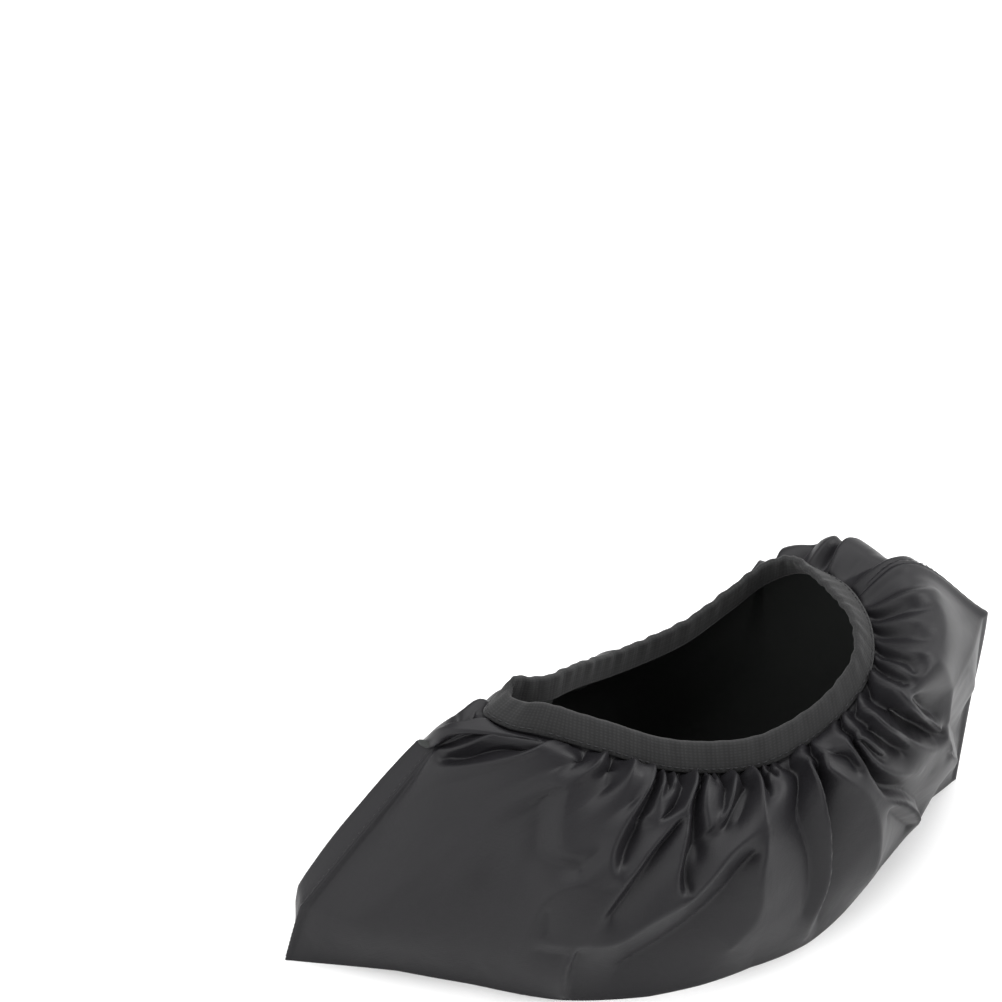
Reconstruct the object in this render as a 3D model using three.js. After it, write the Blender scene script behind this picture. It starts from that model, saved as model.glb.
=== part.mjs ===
// A boot cover for skates: two cloth side panels sewn together down the toe and down the heel,
// a flat sole panel between them, and a knitted elastic binding folded over the gathered opening.
// Millimetres, +Z up, toe towards -X, heel towards +X, standing on Z = 0.
// "near" is the -Y side of the cover and "far" is the +Y side.

import * as THREE from 'three';

// Driving sizes
const clothThick = 1.0;
const seamGap = 0.5;
const bandHeight = 12.5;
const bandWall = 1.0;
const bandSlot = 2.0;
const tuckDepth = 8;
const throatOut = 3.2;
const throatDrop = 1.7;
const originShift = { x: -2.9, y: -0.8 };
const flankLength = 370;
const flankRise = 95;
const seamEase = 0.02;
const longestMitre = 1.7;
const longestBend = 1.25;

const bandThick = 2 * bandWall + bandSlot;

// One row for each station from the toe seam to the heel seam. Y is measured outwards.
// foot stands on the floor, belly is the widest height, crest is where the side turns over the top,
// puff is where the gathers stand proud beside the binding, and share is how far round the rim it is.
// seamY and pull set where the front seam bends over to reach the opening, whichever the side.
const stations = [
  { footX: -150, footY: 0, bellyX: -142.5, bellyY: 0, bellyZ: 25, crestX: -84, crestY: 0, crestZ: 86.5,
    seamY: 3.2, corner: 0.85, nearShare: 0, farShare: 0,
    puffOut: 8, pullX: -12.5, pullY: 12, swing: 0, nearPuff: 1, farPuff: 1, farDrop: 0 },
  { footX: -123, footY: 17, bellyX: -119, bellyY: 21, bellyZ: 25, crestX: -86, crestY: 20, crestZ: 70,
    seamY: 0, corner: 0, nearShare: 0.07, farShare: 0.125,
    puffOut: 8, pullX: 0, pullY: 0, swing: 0.3, nearPuff: 1, farPuff: 0, farDrop: 0 },
  { footX: -92, footY: 37, bellyX: -88, bellyY: 42, bellyZ: 26, crestX: -66, crestY: 41, crestZ: 67,
    seamY: 0, corner: 0, nearShare: 0.155, farShare: 0.25,
    puffOut: 8, pullX: 0, pullY: 0, swing: 0.4, nearPuff: 1, farPuff: -5, farDrop: 2 },
  { footX: -52, footY: 61, bellyX: -50, bellyY: 66, bellyZ: 27, crestX: -36, crestY: 60, crestZ: 65,
    seamY: 0, corner: 0, nearShare: 0.265, farShare: 0.375,
    puffOut: 8, pullX: 0, pullY: 0, swing: 0.4, nearPuff: 1, farPuff: -5, farDrop: 5 },
  { footX: 0, footY: 71, bellyX: 0, bellyY: 76, bellyZ: 28, crestX: 3, crestY: 69, crestZ: 63,
    seamY: 0, corner: 0, nearShare: 0.385, farShare: 0.5,
    puffOut: 8, pullX: 0, pullY: 0, swing: 0.4, nearPuff: 1, farPuff: -5, farDrop: 6 },
  { footX: 43, footY: 67, bellyX: 44, bellyY: 73, bellyZ: 30, crestX: 41, crestY: 68, crestZ: 66,
    seamY: 0, corner: 0, nearShare: 0.5, farShare: 0.625,
    puffOut: 8, pullX: 0, pullY: 0, swing: 0.4, nearPuff: 1, farPuff: -3, farDrop: 4 },
  { footX: 82, footY: 47, bellyX: 86, bellyY: 55, bellyZ: 32, crestX: 80, crestY: 56, crestZ: 74,
    seamY: 0, corner: 0, nearShare: 0.62, farShare: 0.75,
    puffOut: 9, pullX: 0, pullY: 0, swing: 0.4, nearPuff: 2, farPuff: 2, farDrop: 1 },
  { footX: 117, footY: 22, bellyX: 122, bellyY: 30, bellyZ: 36, crestX: 117, crestY: 36, crestZ: 87,
    seamY: 0, corner: 0.3, nearShare: 0.765, farShare: 0.875,
    puffOut: 11, pullX: 0, pullY: 0, swing: 0.3, nearPuff: 5, farPuff: 6, farDrop: 0 },
  { footX: 150, footY: 0, bellyX: 152.5, bellyY: 0, bellyZ: 40, crestX: 156, crestY: 0, crestZ: 86.5,
    seamY: 0, corner: 0.9, nearShare: 1, farShare: 1,
    puffOut: 13, pullX: 0, pullY: 0, swing: 0, nearPuff: 11, farPuff: 11, farDrop: 0 },
];

// How far the near side's foot stands out of its even outline, or behind it where minus. It runs
// straight between these places, so the outline has corners there.
const nearFootSteps = [
  { at: 0, out: 0 },
  { at: 0.17, out: -2.4 },
  { at: 0.27, out: -0.6 },
  { at: 0.36, out: 1.6 },
  { at: 0.44, out: 3.4 },
  { at: 0.49, out: 2.4 },
  { at: 0.55, out: 0.1 },
  { at: 0.63, out: 1.0 },
  { at: 0.70, out: 0.4 },
  { at: 0.79, out: -1.0 },
  { at: 0.89, out: 0.1 },
  { at: 0.945, out: -2.8 },
  { at: 1, out: 0 },
];

// Lower outside edge of the binding, once round: from the top of the front seam along the near side
// to the heel, back along the far side and round the pointed front. lean is how far the binding
// tips inwards from upright and tilt how far it tips towards the heel, in degrees.
const rimToHeel = [
  { x: -50, y: -18, z: 97, lean: 16, tilt: 16 },
  { x: -40, y: -25, z: 95, lean: 22, tilt: 0 },
  { x: -26, y: -32, z: 90.5, lean: 24, tilt: 0 },
  { x: -8, y: -38.5, z: 83, lean: 24, tilt: 0 },
  { x: 12, y: -42.5, z: 78, lean: 22, tilt: 0 },
  { x: 32, y: -45.5, z: 77.5, lean: 20, tilt: 0 },
  { x: 52, y: -46, z: 84, lean: 20, tilt: 0 },
  { x: 68, y: -43.5, z: 93, lean: 20, tilt: 0 },
  { x: 82, y: -36, z: 102, lean: 26, tilt: 0 },
  { x: 91, y: -20, z: 109, lean: 42, tilt: 0 },
];
const rimFromHeel = [
  { x: 94, y: 0, z: 112, lean: 60, tilt: 0 },
  { x: 92, y: 17, z: 111, lean: 56, tilt: 0 },
  { x: 85, y: 33, z: 107, lean: 34, tilt: 0 },
  { x: 72, y: 41, z: 98, lean: 14, tilt: 0 },
  { x: 56, y: 41, z: 88.5, lean: 10, tilt: 0 },
  { x: 36, y: 38.5, z: 80, lean: 10, tilt: 0 },
  { x: 16, y: 35.5, z: 77.5, lean: 10, tilt: 0 },
  { x: -4, y: 28.5, z: 80.5, lean: 10, tilt: 0 },
  { x: -22, y: 18.5, z: 87.5, lean: 10, tilt: 0 },
  { x: -38, y: 10, z: 92, lean: 8, tilt: 0 },
  { x: -53, y: 8, z: 97, lean: 6, tilt: 14 },
  { x: -62, y: 5.5, z: 99, lean: 4, tilt: 42 },
  { x: -66.5, y: -2, z: 100, lean: 0, tilt: 55 },
  { x: -60.5, y: -12, z: 99, lean: 6, tilt: 38 },
];

// Gathers of the near side. Each runs from the rim over a knee under the binding, through a middle
// point, to its end. Places are shares of the side's length; midUp and endUp are shares of its rise.
// rise is its height, and minus where it is a groove. before and after are its widths in mm.
const nearGathers = [
  { rim: 0.105, knee: 0.098, mid: 0.092, midUp: 0.8, end: 0.085, endUp: 0.7, rise: 2.4, before: 8, after: 14 },
  { rim: 0.185, knee: 0.186, mid: 0.188, midUp: 0.85, end: 0.195, endUp: 0.78, rise: -3.0, before: 7, after: 7 },
  { rim: 0.235, knee: 0.212, mid: 0.222, midUp: 0.8, end: 0.25, endUp: 0.72, rise: 2.4, before: 5, after: 5 },
  { rim: 0.262, knee: 0.255, mid: 0.268, midUp: 0.82, end: 0.287, endUp: 0.76, rise: -3.0, before: 5, after: 5 },
  { rim: 0.29, knee: 0.3, mid: 0.325, midUp: 0.8, end: 0.348, endUp: 0.7, rise: 2.2, before: 5, after: 4 },
  { rim: 0.34, knee: 0.335, mid: 0.36, midUp: 0.68, end: 0.392, endUp: 0.5, rise: 3.2, before: 5, after: 4 },
  { rim: 0.36, knee: 0.346, mid: 0.354, midUp: 0.8, end: 0.374, endUp: 0.7, rise: -2.6, before: 3, after: 3 },
  { rim: 0.378, knee: 0.358, mid: 0.372, midUp: 0.79, end: 0.395, endUp: 0.71, rise: 1.5, before: 3, after: 3 },
  { rim: 0.402, knee: 0.38, mid: 0.398, midUp: 0.8, end: 0.407, endUp: 0.71, rise: -2.8, before: 4, after: 3.5 },
  { rim: 0.438, knee: 0.418, mid: 0.412, midUp: 0.62, end: 0.375, endUp: 0.35, rise: 2.8, before: 7, after: 4 },
  { rim: 0.459, knee: 0.431, mid: 0.456, midUp: 0.7, end: 0.48, endUp: 0.58, rise: -3.8, before: 4, after: 4 },
  { rim: 0.476, knee: 0.444, mid: 0.45, midUp: 0.65, end: 0.457, endUp: 0.44, rise: 2.4, before: 4, after: 5 },
  { rim: 0.512, knee: 0.486, mid: 0.489, midUp: 0.75, end: 0.507, endUp: 0.62, rise: 2.0, before: 3, after: 4 },
  { rim: 0.53, knee: 0.503, mid: 0.5, midUp: 0.76, end: 0.506, endUp: 0.66, rise: -2.2, before: 4, after: 4 },
  { rim: 0.565, knee: 0.537, mid: 0.556, midUp: 0.65, end: 0.544, endUp: 0.3, rise: 4.4, before: 6, after: 7 },
  { rim: 0.596, knee: 0.556, mid: 0.552, midUp: 0.82, end: 0.556, endUp: 0.76, rise: -3.0, before: 4, after: 3 },
  { rim: 0.622, knee: 0.578, mid: 0.572, midUp: 0.8, end: 0.575, endUp: 0.72, rise: 1.4, before: 3, after: 4 },
  { rim: 0.655, knee: 0.616, mid: 0.614, midUp: 0.65, end: 0.622, endUp: 0.42, rise: -3.0, before: 8, after: 6 },
  { rim: 0.7, knee: 0.653, mid: 0.643, midUp: 0.55, end: 0.628, endUp: 0.06, rise: 4.2, before: 7, after: 5 },
  { rim: 0.722, knee: 0.668, mid: 0.673, midUp: 0.5, end: 0.67, endUp: 0.04, rise: -4.0, before: 5, after: 11 },
  { rim: 0.74, knee: 0.684, mid: 0.708, midUp: 0.48, end: 0.713, endUp: 0.08, rise: 3.0, before: 7, after: 7 },
  { rim: 0.762, knee: 0.712, mid: 0.711, midUp: 0.76, end: 0.713, endUp: 0.68, rise: -2.4, before: 4, after: 4 },
  { rim: 0.78, knee: 0.734, mid: 0.721, midUp: 0.6, end: 0.737, endUp: 0.41, rise: 3.4, before: 4, after: 3 },
  { rim: 0.791, knee: 0.744, mid: 0.728, midUp: 0.62, end: 0.745, endUp: 0.45, rise: -2.8, before: 3, after: 3 },
  { rim: 0.802, knee: 0.755, mid: 0.744, midUp: 0.62, end: 0.79, endUp: 0.44, rise: 2.4, before: 4, after: 5 },
  { rim: 0.826, knee: 0.785, mid: 0.766, midUp: 0.68, end: 0.77, endUp: 0.55, rise: -2.6, before: 5, after: 4 },
  { rim: 0.845, knee: 0.802, mid: 0.787, midUp: 0.64, end: 0.834, endUp: 0.42, rise: 3.2, before: 4, after: 4 },
  { rim: 0.866, knee: 0.827, mid: 0.811, midUp: 0.68, end: 0.828, endUp: 0.48, rise: -3.2, before: 5, after: 5 },
  { rim: 0.89, knee: 0.855, mid: 0.826, midUp: 0.64, end: 0.84, endUp: 0.47, rise: 3.6, before: 3.5, after: 6 },
  { rim: 0.91, knee: 0.88, mid: 0.87, midUp: 0.8, end: 0.863, endUp: 0.74, rise: -1.8, before: 4, after: 4 },
  { rim: 0.945, knee: 0.914, mid: 0.907, midUp: 0.8, end: 0.902, endUp: 0.74, rise: 2.4, before: 4, after: 4 },
  { rim: 0.964, knee: 0.938, mid: 0.93, midUp: 0.82, end: 0.928, endUp: 0.75, rise: -2.8, before: 7, after: 6 },
  { rim: 0.981, knee: 0.966, mid: 0.958, midUp: 0.82, end: 0.955, endUp: 0.75, rise: 2.0, before: 5, after: 5 },
];

// Folds of the near side that start below the gathers, each through three points of the panel.
const nearFolds = [
  // the tongue-shaped pocket beside the top of the front seam
  { at1: 0.0, up1: 0.86, at2: 0.025, up2: 0.85, at3: 0.05, up3: 0.86, rise: -3.6, before: 11, after: 11 },
  // edge of the gathered pouch along the smooth toe
  { at1: 0.17, up1: 0.79, at2: 0.24, up2: 0.71, at3: 0.32, up3: 0.6, rise: 1.6, before: 7, after: 5 },
  // the long slanting fold under the middle of the opening and the hollow below it
  { at1: 0.56, up1: 0.67, at2: 0.46, up2: 0.44, at3: 0.375, up3: 0.29, rise: 4.0, before: 8, after: 6 },
  { at1: 0.54, up1: 0.54, at2: 0.5, up2: 0.36, at3: 0.44, up3: 0.1, rise: -4.4, before: 14, after: 14 },
  // soft swelling ahead of it, the crease down to the floor and a shallow trough
  { at1: 0.345, up1: 0.5, at2: 0.345, up2: 0.4, at3: 0.345, up3: 0.28, rise: 2.6, before: 12, after: 12 },
  { at1: 0.362, up1: 0.26, at2: 0.366, up2: 0.12, at3: 0.367, up3: 0.02, rise: 2.4, before: 9, after: 6 },
  { at1: 0.424, up1: 0.36, at2: 0.416, up2: 0.2, at3: 0.41, up3: 0.05, rise: -2.0, before: 7, after: 7 },
  // slanting folds that run down to the floor beside the heel
  { at1: 0.722, up1: 0.46, at2: 0.785, up2: 0.26, at3: 0.875, up3: 0.03, rise: 3.2, before: 5, after: 5 },
  { at1: 0.73, up1: 0.38, at2: 0.775, up2: 0.2, at3: 0.83, up3: 0.04, rise: -2.8, before: 7, after: 4 },
  { at1: 0.745, up1: 0.47, at2: 0.815, up2: 0.27, at3: 0.88, up3: 0.08, rise: -3.4, before: 4, after: 9 },
  { at1: 0.85, up1: 0.45, at2: 0.9, up2: 0.25, at3: 0.98, up3: 0.06, rise: -2.2, before: 5, after: 5 },
  { at1: 0.885, up1: 0.58, at2: 0.925, up2: 0.38, at3: 0.985, up3: 0.18, rise: -2.6, before: 8, after: 8 },
  // three-cornered facet beside the top of the heel
  { at1: 0.885, up1: 0.75, at2: 0.862, up2: 0.62, at3: 0.845, up3: 0.5, rise: -2.6, before: 6, after: 11 },
];

// The far side carries the same kind of gathers at an even pitch, some of them long.
const farGathers = {
  count: 27, first: 0.1, last: 0.965, ridge: 1.6, groove: -2.9, width: 4.6,
  shortEnd: 0.76, longEnd: 0.3, longEvery: 4, longRise: 2.4, lean: 0.02,
};

// Rows of the mesh up a panel, as shares of its rise, and columns along it.
const rowShares = [0, 0.08, 0.18, 0.3, 0.41, 0.51, 0.6, 0.69, 0.77, 0.84, 0.9, 0.955, 1];
const nearColumns = 92;
const farColumns = 58;
const soleColumns = 56;
const bandStations = 120;

// Where the profile's named points lie on a panel's rise.
const profileShares = [0, 0.25, 0.6, 0.88, 0.955, 1];
const crestKnot = 2;

const { clamp, degToRad, lerp, mapLinear, smoothstep } = THREE.MathUtils;

// A smooth value through equally spaced rows, worked out for every named column.
function blendRows(rows, share) {
  const last = rows.length - 1;
  const along = clamp(share, 0, 1) * last;
  const i = Math.min(Math.floor(along), last - 1);
  const before = rows[Math.max(i - 1, 0)];
  const after = rows[Math.min(i + 2, last)];
  const mixed = {};
  for (const name of Object.keys(rows[0])) {
    const b = rows[i][name];
    const c = rows[i + 1][name];
    const a = i > 0 ? before[name] : 2 * b - c;
    const d = i + 2 <= last ? after[name] : 2 * c - b;
    mixed[name] = cubic(a, b, c, d, along - i);
  }
  return mixed;
}

function cubic(a, b, c, d, f) {
  return 0.5 * (2 * b + (c - a) * f + (2 * a - 5 * b + 4 * c - d) * f * f
    + (3 * b - a - 3 * c + d) * f * f * f);
}

// The rim as a closed loop, walked at an even pace.
const rimRows = [...rimToHeel, ...rimFromHeel];
const rimWalk = walkRim();

function rimBetweenRows(along) {
  const count = rimRows.length;
  const i = Math.floor(along) % count;
  const row = (step) => rimRows[(i + step + count) % count];
  const mixed = {};
  for (const name of Object.keys(rimRows[0])) {
    mixed[name] = cubic(row(-1)[name], row(0)[name], row(1)[name], row(2)[name], along - Math.floor(along));
  }
  return mixed;
}

function walkRim() {
  const steps = 1200;
  const walk = [{ along: 0, length: 0 }];
  let last = rimBetweenRows(0);
  for (let k = 1; k <= steps; k++) {
    const along = (k / steps) * rimRows.length;
    const here = rimBetweenRows(along % rimRows.length);
    const length = walk[k - 1].length + Math.hypot(here.x - last.x, here.y - last.y, here.z - last.z);
    walk.push({ along, length });
    last = here;
  }
  return walk;
}

function lengthAtRow(rowIndex) {
  const k = Math.round((rowIndex / rimRows.length) * (rimWalk.length - 1));
  return rimWalk[k].length / rimWalk[rimWalk.length - 1].length;
}

const heelShare = lengthAtRow(rimToHeel.length);

function rimAt(share) {
  const wanted = (share - Math.floor(share)) * rimWalk[rimWalk.length - 1].length;
  let low = 0;
  let high = rimWalk.length - 1;
  while (high - low > 1) {
    const middle = (low + high) >> 1;
    if (rimWalk[middle].length > wanted) high = middle;
    else low = middle;
  }
  const part = (wanted - rimWalk[low].length) / (rimWalk[high].length - rimWalk[low].length);
  return rimBetweenRows(lerp(rimWalk[low].along, rimWalk[high].along, part) % rimRows.length);
}

// The binding's place at a share of the rim: the middle of its lower edge, the way out of the
// opening and the way up the leaning tape.
function bandFrame(share) {
  const step = 0.004;
  const here = rimAt(share);
  const ahead = rimAt(share + step);
  const behind = rimAt(share - step + 1);
  const tangent = new THREE.Vector3(ahead.x - behind.x, ahead.y - behind.y, ahead.z - behind.z).normalize();
  const level = new THREE.Vector3(tangent.y, -tangent.x, 0).normalize();
  const up = new THREE.Vector3(Math.tan(degToRad(here.tilt)), 0, 1);
  up.addScaledVector(level, -Math.tan(degToRad(here.lean))).normalize();
  const out = new THREE.Vector3().crossVectors(tangent, up).normalize();
  const base = new THREE.Vector3(here.x, here.y, here.z).addScaledVector(out, -bandThick / 2);
  return { base, out, up };
}

// A smooth curve through points at given knots. corner sharpens the bend at the crest.
function throughKnots(points, knots, share, corner) {
  const last = knots.length - 1;
  let i = 0;
  while (i < last - 1 && share > knots[i + 1]) i++;
  const slope = (k) => points[k + 1].clone().sub(points[k]).divideScalar(knots[k + 1] - knots[k]);
  const bend = (k, own) => {
    if (k === 0 || k === last) return own.clone();
    const h0 = knots[k] - knots[k - 1];
    const h1 = knots[k + 1] - knots[k];
    const even = slope(k - 1).multiplyScalar(h1).addScaledVector(slope(k), h0).divideScalar(h0 + h1);
    even.clampLength(0, longestBend * Math.min(slope(k - 1).length(), slope(k).length()));
    return even.lerp(own, k <= crestKnot ? corner : 0);
  };
  const gap = knots[i + 1] - knots[i];
  const f = (share - knots[i]) / gap;
  const own = slope(i);
  const start = bend(i, own).multiplyScalar(gap);
  const finish = bend(i + 1, own).multiplyScalar(gap);
  return points[i].clone().multiplyScalar(2 * f ** 3 - 3 * f ** 2 + 1)
    .addScaledVector(start, f ** 3 - 2 * f ** 2 + f)
    .addScaledVector(points[i + 1], 3 * f ** 2 - 2 * f ** 3)
    .addScaledVector(finish, f ** 3 - f ** 2);
}

// Which way a gather leaves the binding, seen from above: away from the middle of the opening,
// swung a little towards the heel.
function gatherWay(rim, swing) {
  const way = new THREE.Vector3((rim.x - 15) * 0.55, rim.y, 0).normalize();
  way.x += swing * Math.abs(way.y);
  return way;
}

const near = { sign: -1, share: 'nearShare', puff: 'nearPuff', rimShare: (part) => part * heelShare };
const far = { sign: 1, share: 'farShare', puff: 'farPuff', rimShare: (part) => 1 - part * (1 - heelShare) };

// The way out of the foot's outline, level, with y measured outwards.
function footWay(along) {
  const step = 0.01;
  const ahead = blendRows(stations, Math.min(along + step, 1));
  const behind = blendRows(stations, Math.max(along - step, 0));
  return new THREE.Vector2(behind.footY - ahead.footY, ahead.footX - behind.footX).normalize();
}

function footStep(side, along) {
  if (side !== near) return 0;
  const k = Math.max(nearFootSteps.findIndex((row) => row.at >= along), 1);
  const before = nearFootSteps[k - 1];
  const after = nearFootSteps[k];
  return mapLinear(along, before.at, after.at, before.out, after.out);
}

// The foot's edge at a share of the side's length, with y measured outwards.
function footPlace(side, along, inset) {
  const row = blendRows(stations, along);
  const out = footStep(side, along) - inset;
  const way = footWay(along);
  return new THREE.Vector2(row.footX + way.x * out, row.footY + way.y * out);
}

// The unfolded side at a share of its length and of its rise, before gathers and folds.
function plainSide(side, along, up) {
  const row = blendRows(stations, along);
  const foot = footPlace(side, along, 0);
  const drop = side === far ? row.farDrop : 0;
  const frame = bandFrame(side.rimShare(row[side.share]));
  const rim = frame.base.clone().addScaledVector(frame.up, -throatDrop + 0.4);
  const throat = frame.base.clone().addScaledVector(frame.out, throatOut).addScaledVector(frame.up, -throatDrop);
  const way = gatherWay(frame.base, side === near ? row.swing : 0);
  const puff = frame.base.clone().addScaledVector(way, row.puffOut + bandThick / 2);
  puff.add(new THREE.Vector3(row.pullX, row.pullY, row[side.puff]));
  const points = [
    new THREE.Vector3(foot.x, foot.y * side.sign, 0),
    new THREE.Vector3(row.bellyX, row.bellyY * side.sign, row.bellyZ),
    new THREE.Vector3(row.crestX, (row.crestY - drop) * side.sign + row.seamY, row.crestZ - drop),
    puff,
    throat,
    rim,
  ];
  return throughKnots(points, profileShares, up, clamp(row.corner, 0, 1));
}

function plainNormal(side, along, up) {
  const step = 0.004;
  const alongWay = plainSide(side, Math.min(along + step, 1), up)
    .sub(plainSide(side, Math.max(along - step, 0), up));
  const upWay = plainSide(side, along, Math.min(up + step, 1))
    .sub(plainSide(side, along, Math.max(up - step, 0)));
  return alongWay.cross(upWay).multiplyScalar(-side.sign).normalize();
}

// A fold's line over the panel, in millimetres along the flank and up it.
function foldLine(points) {
  const line = [];
  const pieces = 4;
  for (let k = 0; k < points.length - 1; k++) {
    const a = points[Math.max(k - 1, 0)];
    const d = points[Math.min(k + 2, points.length - 1)];
    for (let step = 0; step < pieces; step++) {
      const f = step / pieces;
      line.push({
        x: cubic(a[0], points[k][0], points[k + 1][0], d[0], f) * flankLength,
        y: cubic(a[1], points[k][1], points[k + 1][1], d[1], f) * flankRise,
      });
    }
  }
  const end = points[points.length - 1];
  line.push({ x: end[0] * flankLength, y: end[1] * flankRise });
  return line;
}

const gatherKnee = 0.86;

const gatherToFold = (row) => ({
  line: foldLine([[row.rim, 1], [row.knee, gatherKnee], [row.mid, row.midUp], [row.end, row.endUp]]),
  rise: row.rise, before: row.before, after: row.after, startFade: 0,
});

const rowToFold = (row) => ({
  line: foldLine([[row.at1, row.up1], [row.at2, row.up2], [row.at3, row.up3]]),
  rise: row.rise, before: row.before, after: row.after, startFade: 0.25,
});

near.folds = [...nearGathers.map(gatherToFold), ...nearFolds.map(rowToFold)];
far.folds = farGatherRows().map(gatherToFold);

function farGatherRows() {
  const rows = [];
  const g = farGathers;
  for (let k = 0; k < g.count; k++) {
    const at = lerp(g.first, g.last, k / (g.count - 1));
    const isRidge = k % 2 === 0;
    const isLong = k % g.longEvery === 2 || k % g.longEvery === 3;
    const end = isLong ? g.longEnd + 0.1 * Math.sin(k * 2.1) : g.shortEnd + 0.03 * Math.sin(k * 1.7);
    const size = isRidge ? g.ridge : g.groove;
    rows.push({
      rim: at,
      knee: at - g.lean * Math.sin(at * 6),
      mid: at + g.lean * Math.sin(k * 1.3),
      midUp: lerp(gatherKnee, end, 0.5),
      end: at + g.lean * Math.sin(k * 2.3),
      endUp: end,
      rise: isLong ? Math.sign(size) * g.longRise : size * (0.9 + 0.2 * Math.sin(k * 2.9)),
      before: g.width,
      after: g.width,
    });
  }
  return rows;
}

// How far the cloth stands off the plain side at one place, all folds together.
function foldRise(side, along, up) {
  const x = along * flankLength;
  const y = up * flankRise;
  let total = 0;
  for (const fold of side.folds) {
    total += oneFold(fold, x, y);
  }
  const pinch = 1 - smoothstep(up, 0.885, 0.965);
  const atFloor = smoothstep(up, 0, 0.1);
  const atSeams = smoothstep(along, 0, seamEase) * (1 - smoothstep(along, 1 - seamEase, 1));
  return total * pinch * atFloor * atSeams;
}

const foldSharpness = 1.4;
const endFade = 0.3;

function oneFold(fold, x, y) {
  let best = { distance: Infinity, side: 0, part: 0 };
  const pieces = fold.line.length - 1;
  for (let k = 0; k < pieces; k++) {
    const a = fold.line[k];
    const b = fold.line[k + 1];
    const wayX = b.x - a.x;
    const wayY = b.y - a.y;
    const f = clamp(((x - a.x) * wayX + (y - a.y) * wayY) / (wayX ** 2 + wayY ** 2), 0, 1);
    const offX = x - a.x - wayX * f;
    const offY = y - a.y - wayY * f;
    const distance = Math.hypot(offX, offY);
    if (distance < best.distance) {
      best = { distance, side: Math.sign(wayX * offY - wayY * offX), part: (k + f) / pieces };
    }
  }
  const width = best.side > 0 ? fold.after : fold.before;
  const across = Math.exp(-((best.distance / width) ** foldSharpness));
  const start = fold.startFade > 0 ? smoothstep(best.part, -0.1, fold.startFade) : 1;
  const finish = 1 - smoothstep(best.part, 1 - endFade, 1.08);
  return fold.rise * across * start * finish;
}

// Middle of the cloth at one place, with its gathers and folds.
function foldedSide(side, along, up) {
  const rise = foldRise(side, along, up);
  return plainSide(side, along, up).addScaledVector(plainNormal(side, along, up), rise);
}

// Where two panels meet, both walls end on the line that halves the angle between them.
function seamDirection(side, along, up) {
  const own = plainNormal(side, along, up);
  const other = plainNormal(side === near ? far : near, along, up);
  const middle = own.clone().add(other).normalize();
  const stretch = Math.min(1 / Math.max(middle.dot(own), 0.1), longestMitre);
  return middle.multiplyScalar(stretch);
}

// One side panel: a grid of cloth from the floor to inside the binding, given its thickness.
function sidePanel(side, columns) {
  const grid = [];
  for (let i = 0; i <= columns; i++) {
    const along = i / columns;
    const column = rowShares.map((up) => foldedSide(side, along, up));
    const frame = bandFrame(side.rimShare(blendRows(stations, along)[side.share]));
    column.push(frame.base.clone().addScaledVector(frame.up, 0.9));
    column.push(frame.base.clone().addScaledVector(frame.up, tuckDepth));
    grid.push({ along, points: column, out: frame.out });
  }
  const rows = grid[0].points.length;
  const outer = [];
  const inner = [];
  for (let i = 0; i <= columns; i++) {
    outer.push([]);
    inner.push([]);
    for (let j = 0; j < rows; j++) {
      const offset = wallOffset(side, grid, i, j);
      const middle = grid[i].points[j].clone().add(seamShift(side, grid, i, j));
      outer[i].push(middle.clone().add(offset));
      inner[i].push(middle.clone().sub(offset));
    }
  }
  return closedWall(outer, inner, side.sign < 0);
}

// Half the cloth's thickness, square to the cloth, level at the floor and halving the seam's angle.
function wallOffset(side, grid, i, j) {
  const last = grid.length - 1;
  let way;
  if (j >= rowShares.length) {
    way = grid[i].out.clone();
  } else if (i === 0 || i === last) {
    way = seamDirection(side, grid[i].along, Math.min(rowShares[j], 0.99));
  } else {
    way = gridNormal(side, grid, i, j);
  }
  if (j === 0) {
    const stretch = way.length();
    way.setZ(0).setLength(stretch);
  }
  return way.multiplyScalar(clothThick / 2);
}

function gridNormal(side, grid, i, j) {
  const alongWay = grid[i + 1].points[j].clone().sub(grid[i - 1].points[j]);
  const above = grid[i].points[j + 1];
  const below = grid[i].points[Math.max(j - 1, 0)];
  const upWay = above.clone().sub(below);
  return alongWay.cross(upWay).multiplyScalar(-side.sign).normalize();
}

// The seam columns stand half a gap to their own side.
function seamShift(side, grid, i, j) {
  const last = grid.length - 1;
  if (i !== 0 && i !== last) return new THREE.Vector3();
  const points = grid[i].points;
  const seamWay = points[Math.min(j + 1, points.length - 1)].clone().sub(points[Math.max(j - 1, 0)]);
  const outward = j >= rowShares.length ? grid[i].out.clone()
    : seamDirection(side, grid[i].along, Math.min(rowShares[j], 0.99));
  const sideways = outward.cross(seamWay).normalize();
  const inward = grid[i === 0 ? 1 : last - 1].points[j].clone().sub(points[j]);
  if (j === 0) sideways.setZ(0).normalize();
  return sideways.multiplyScalar(Math.sign(sideways.dot(inward)) * seamGap / 2);
}

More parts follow.
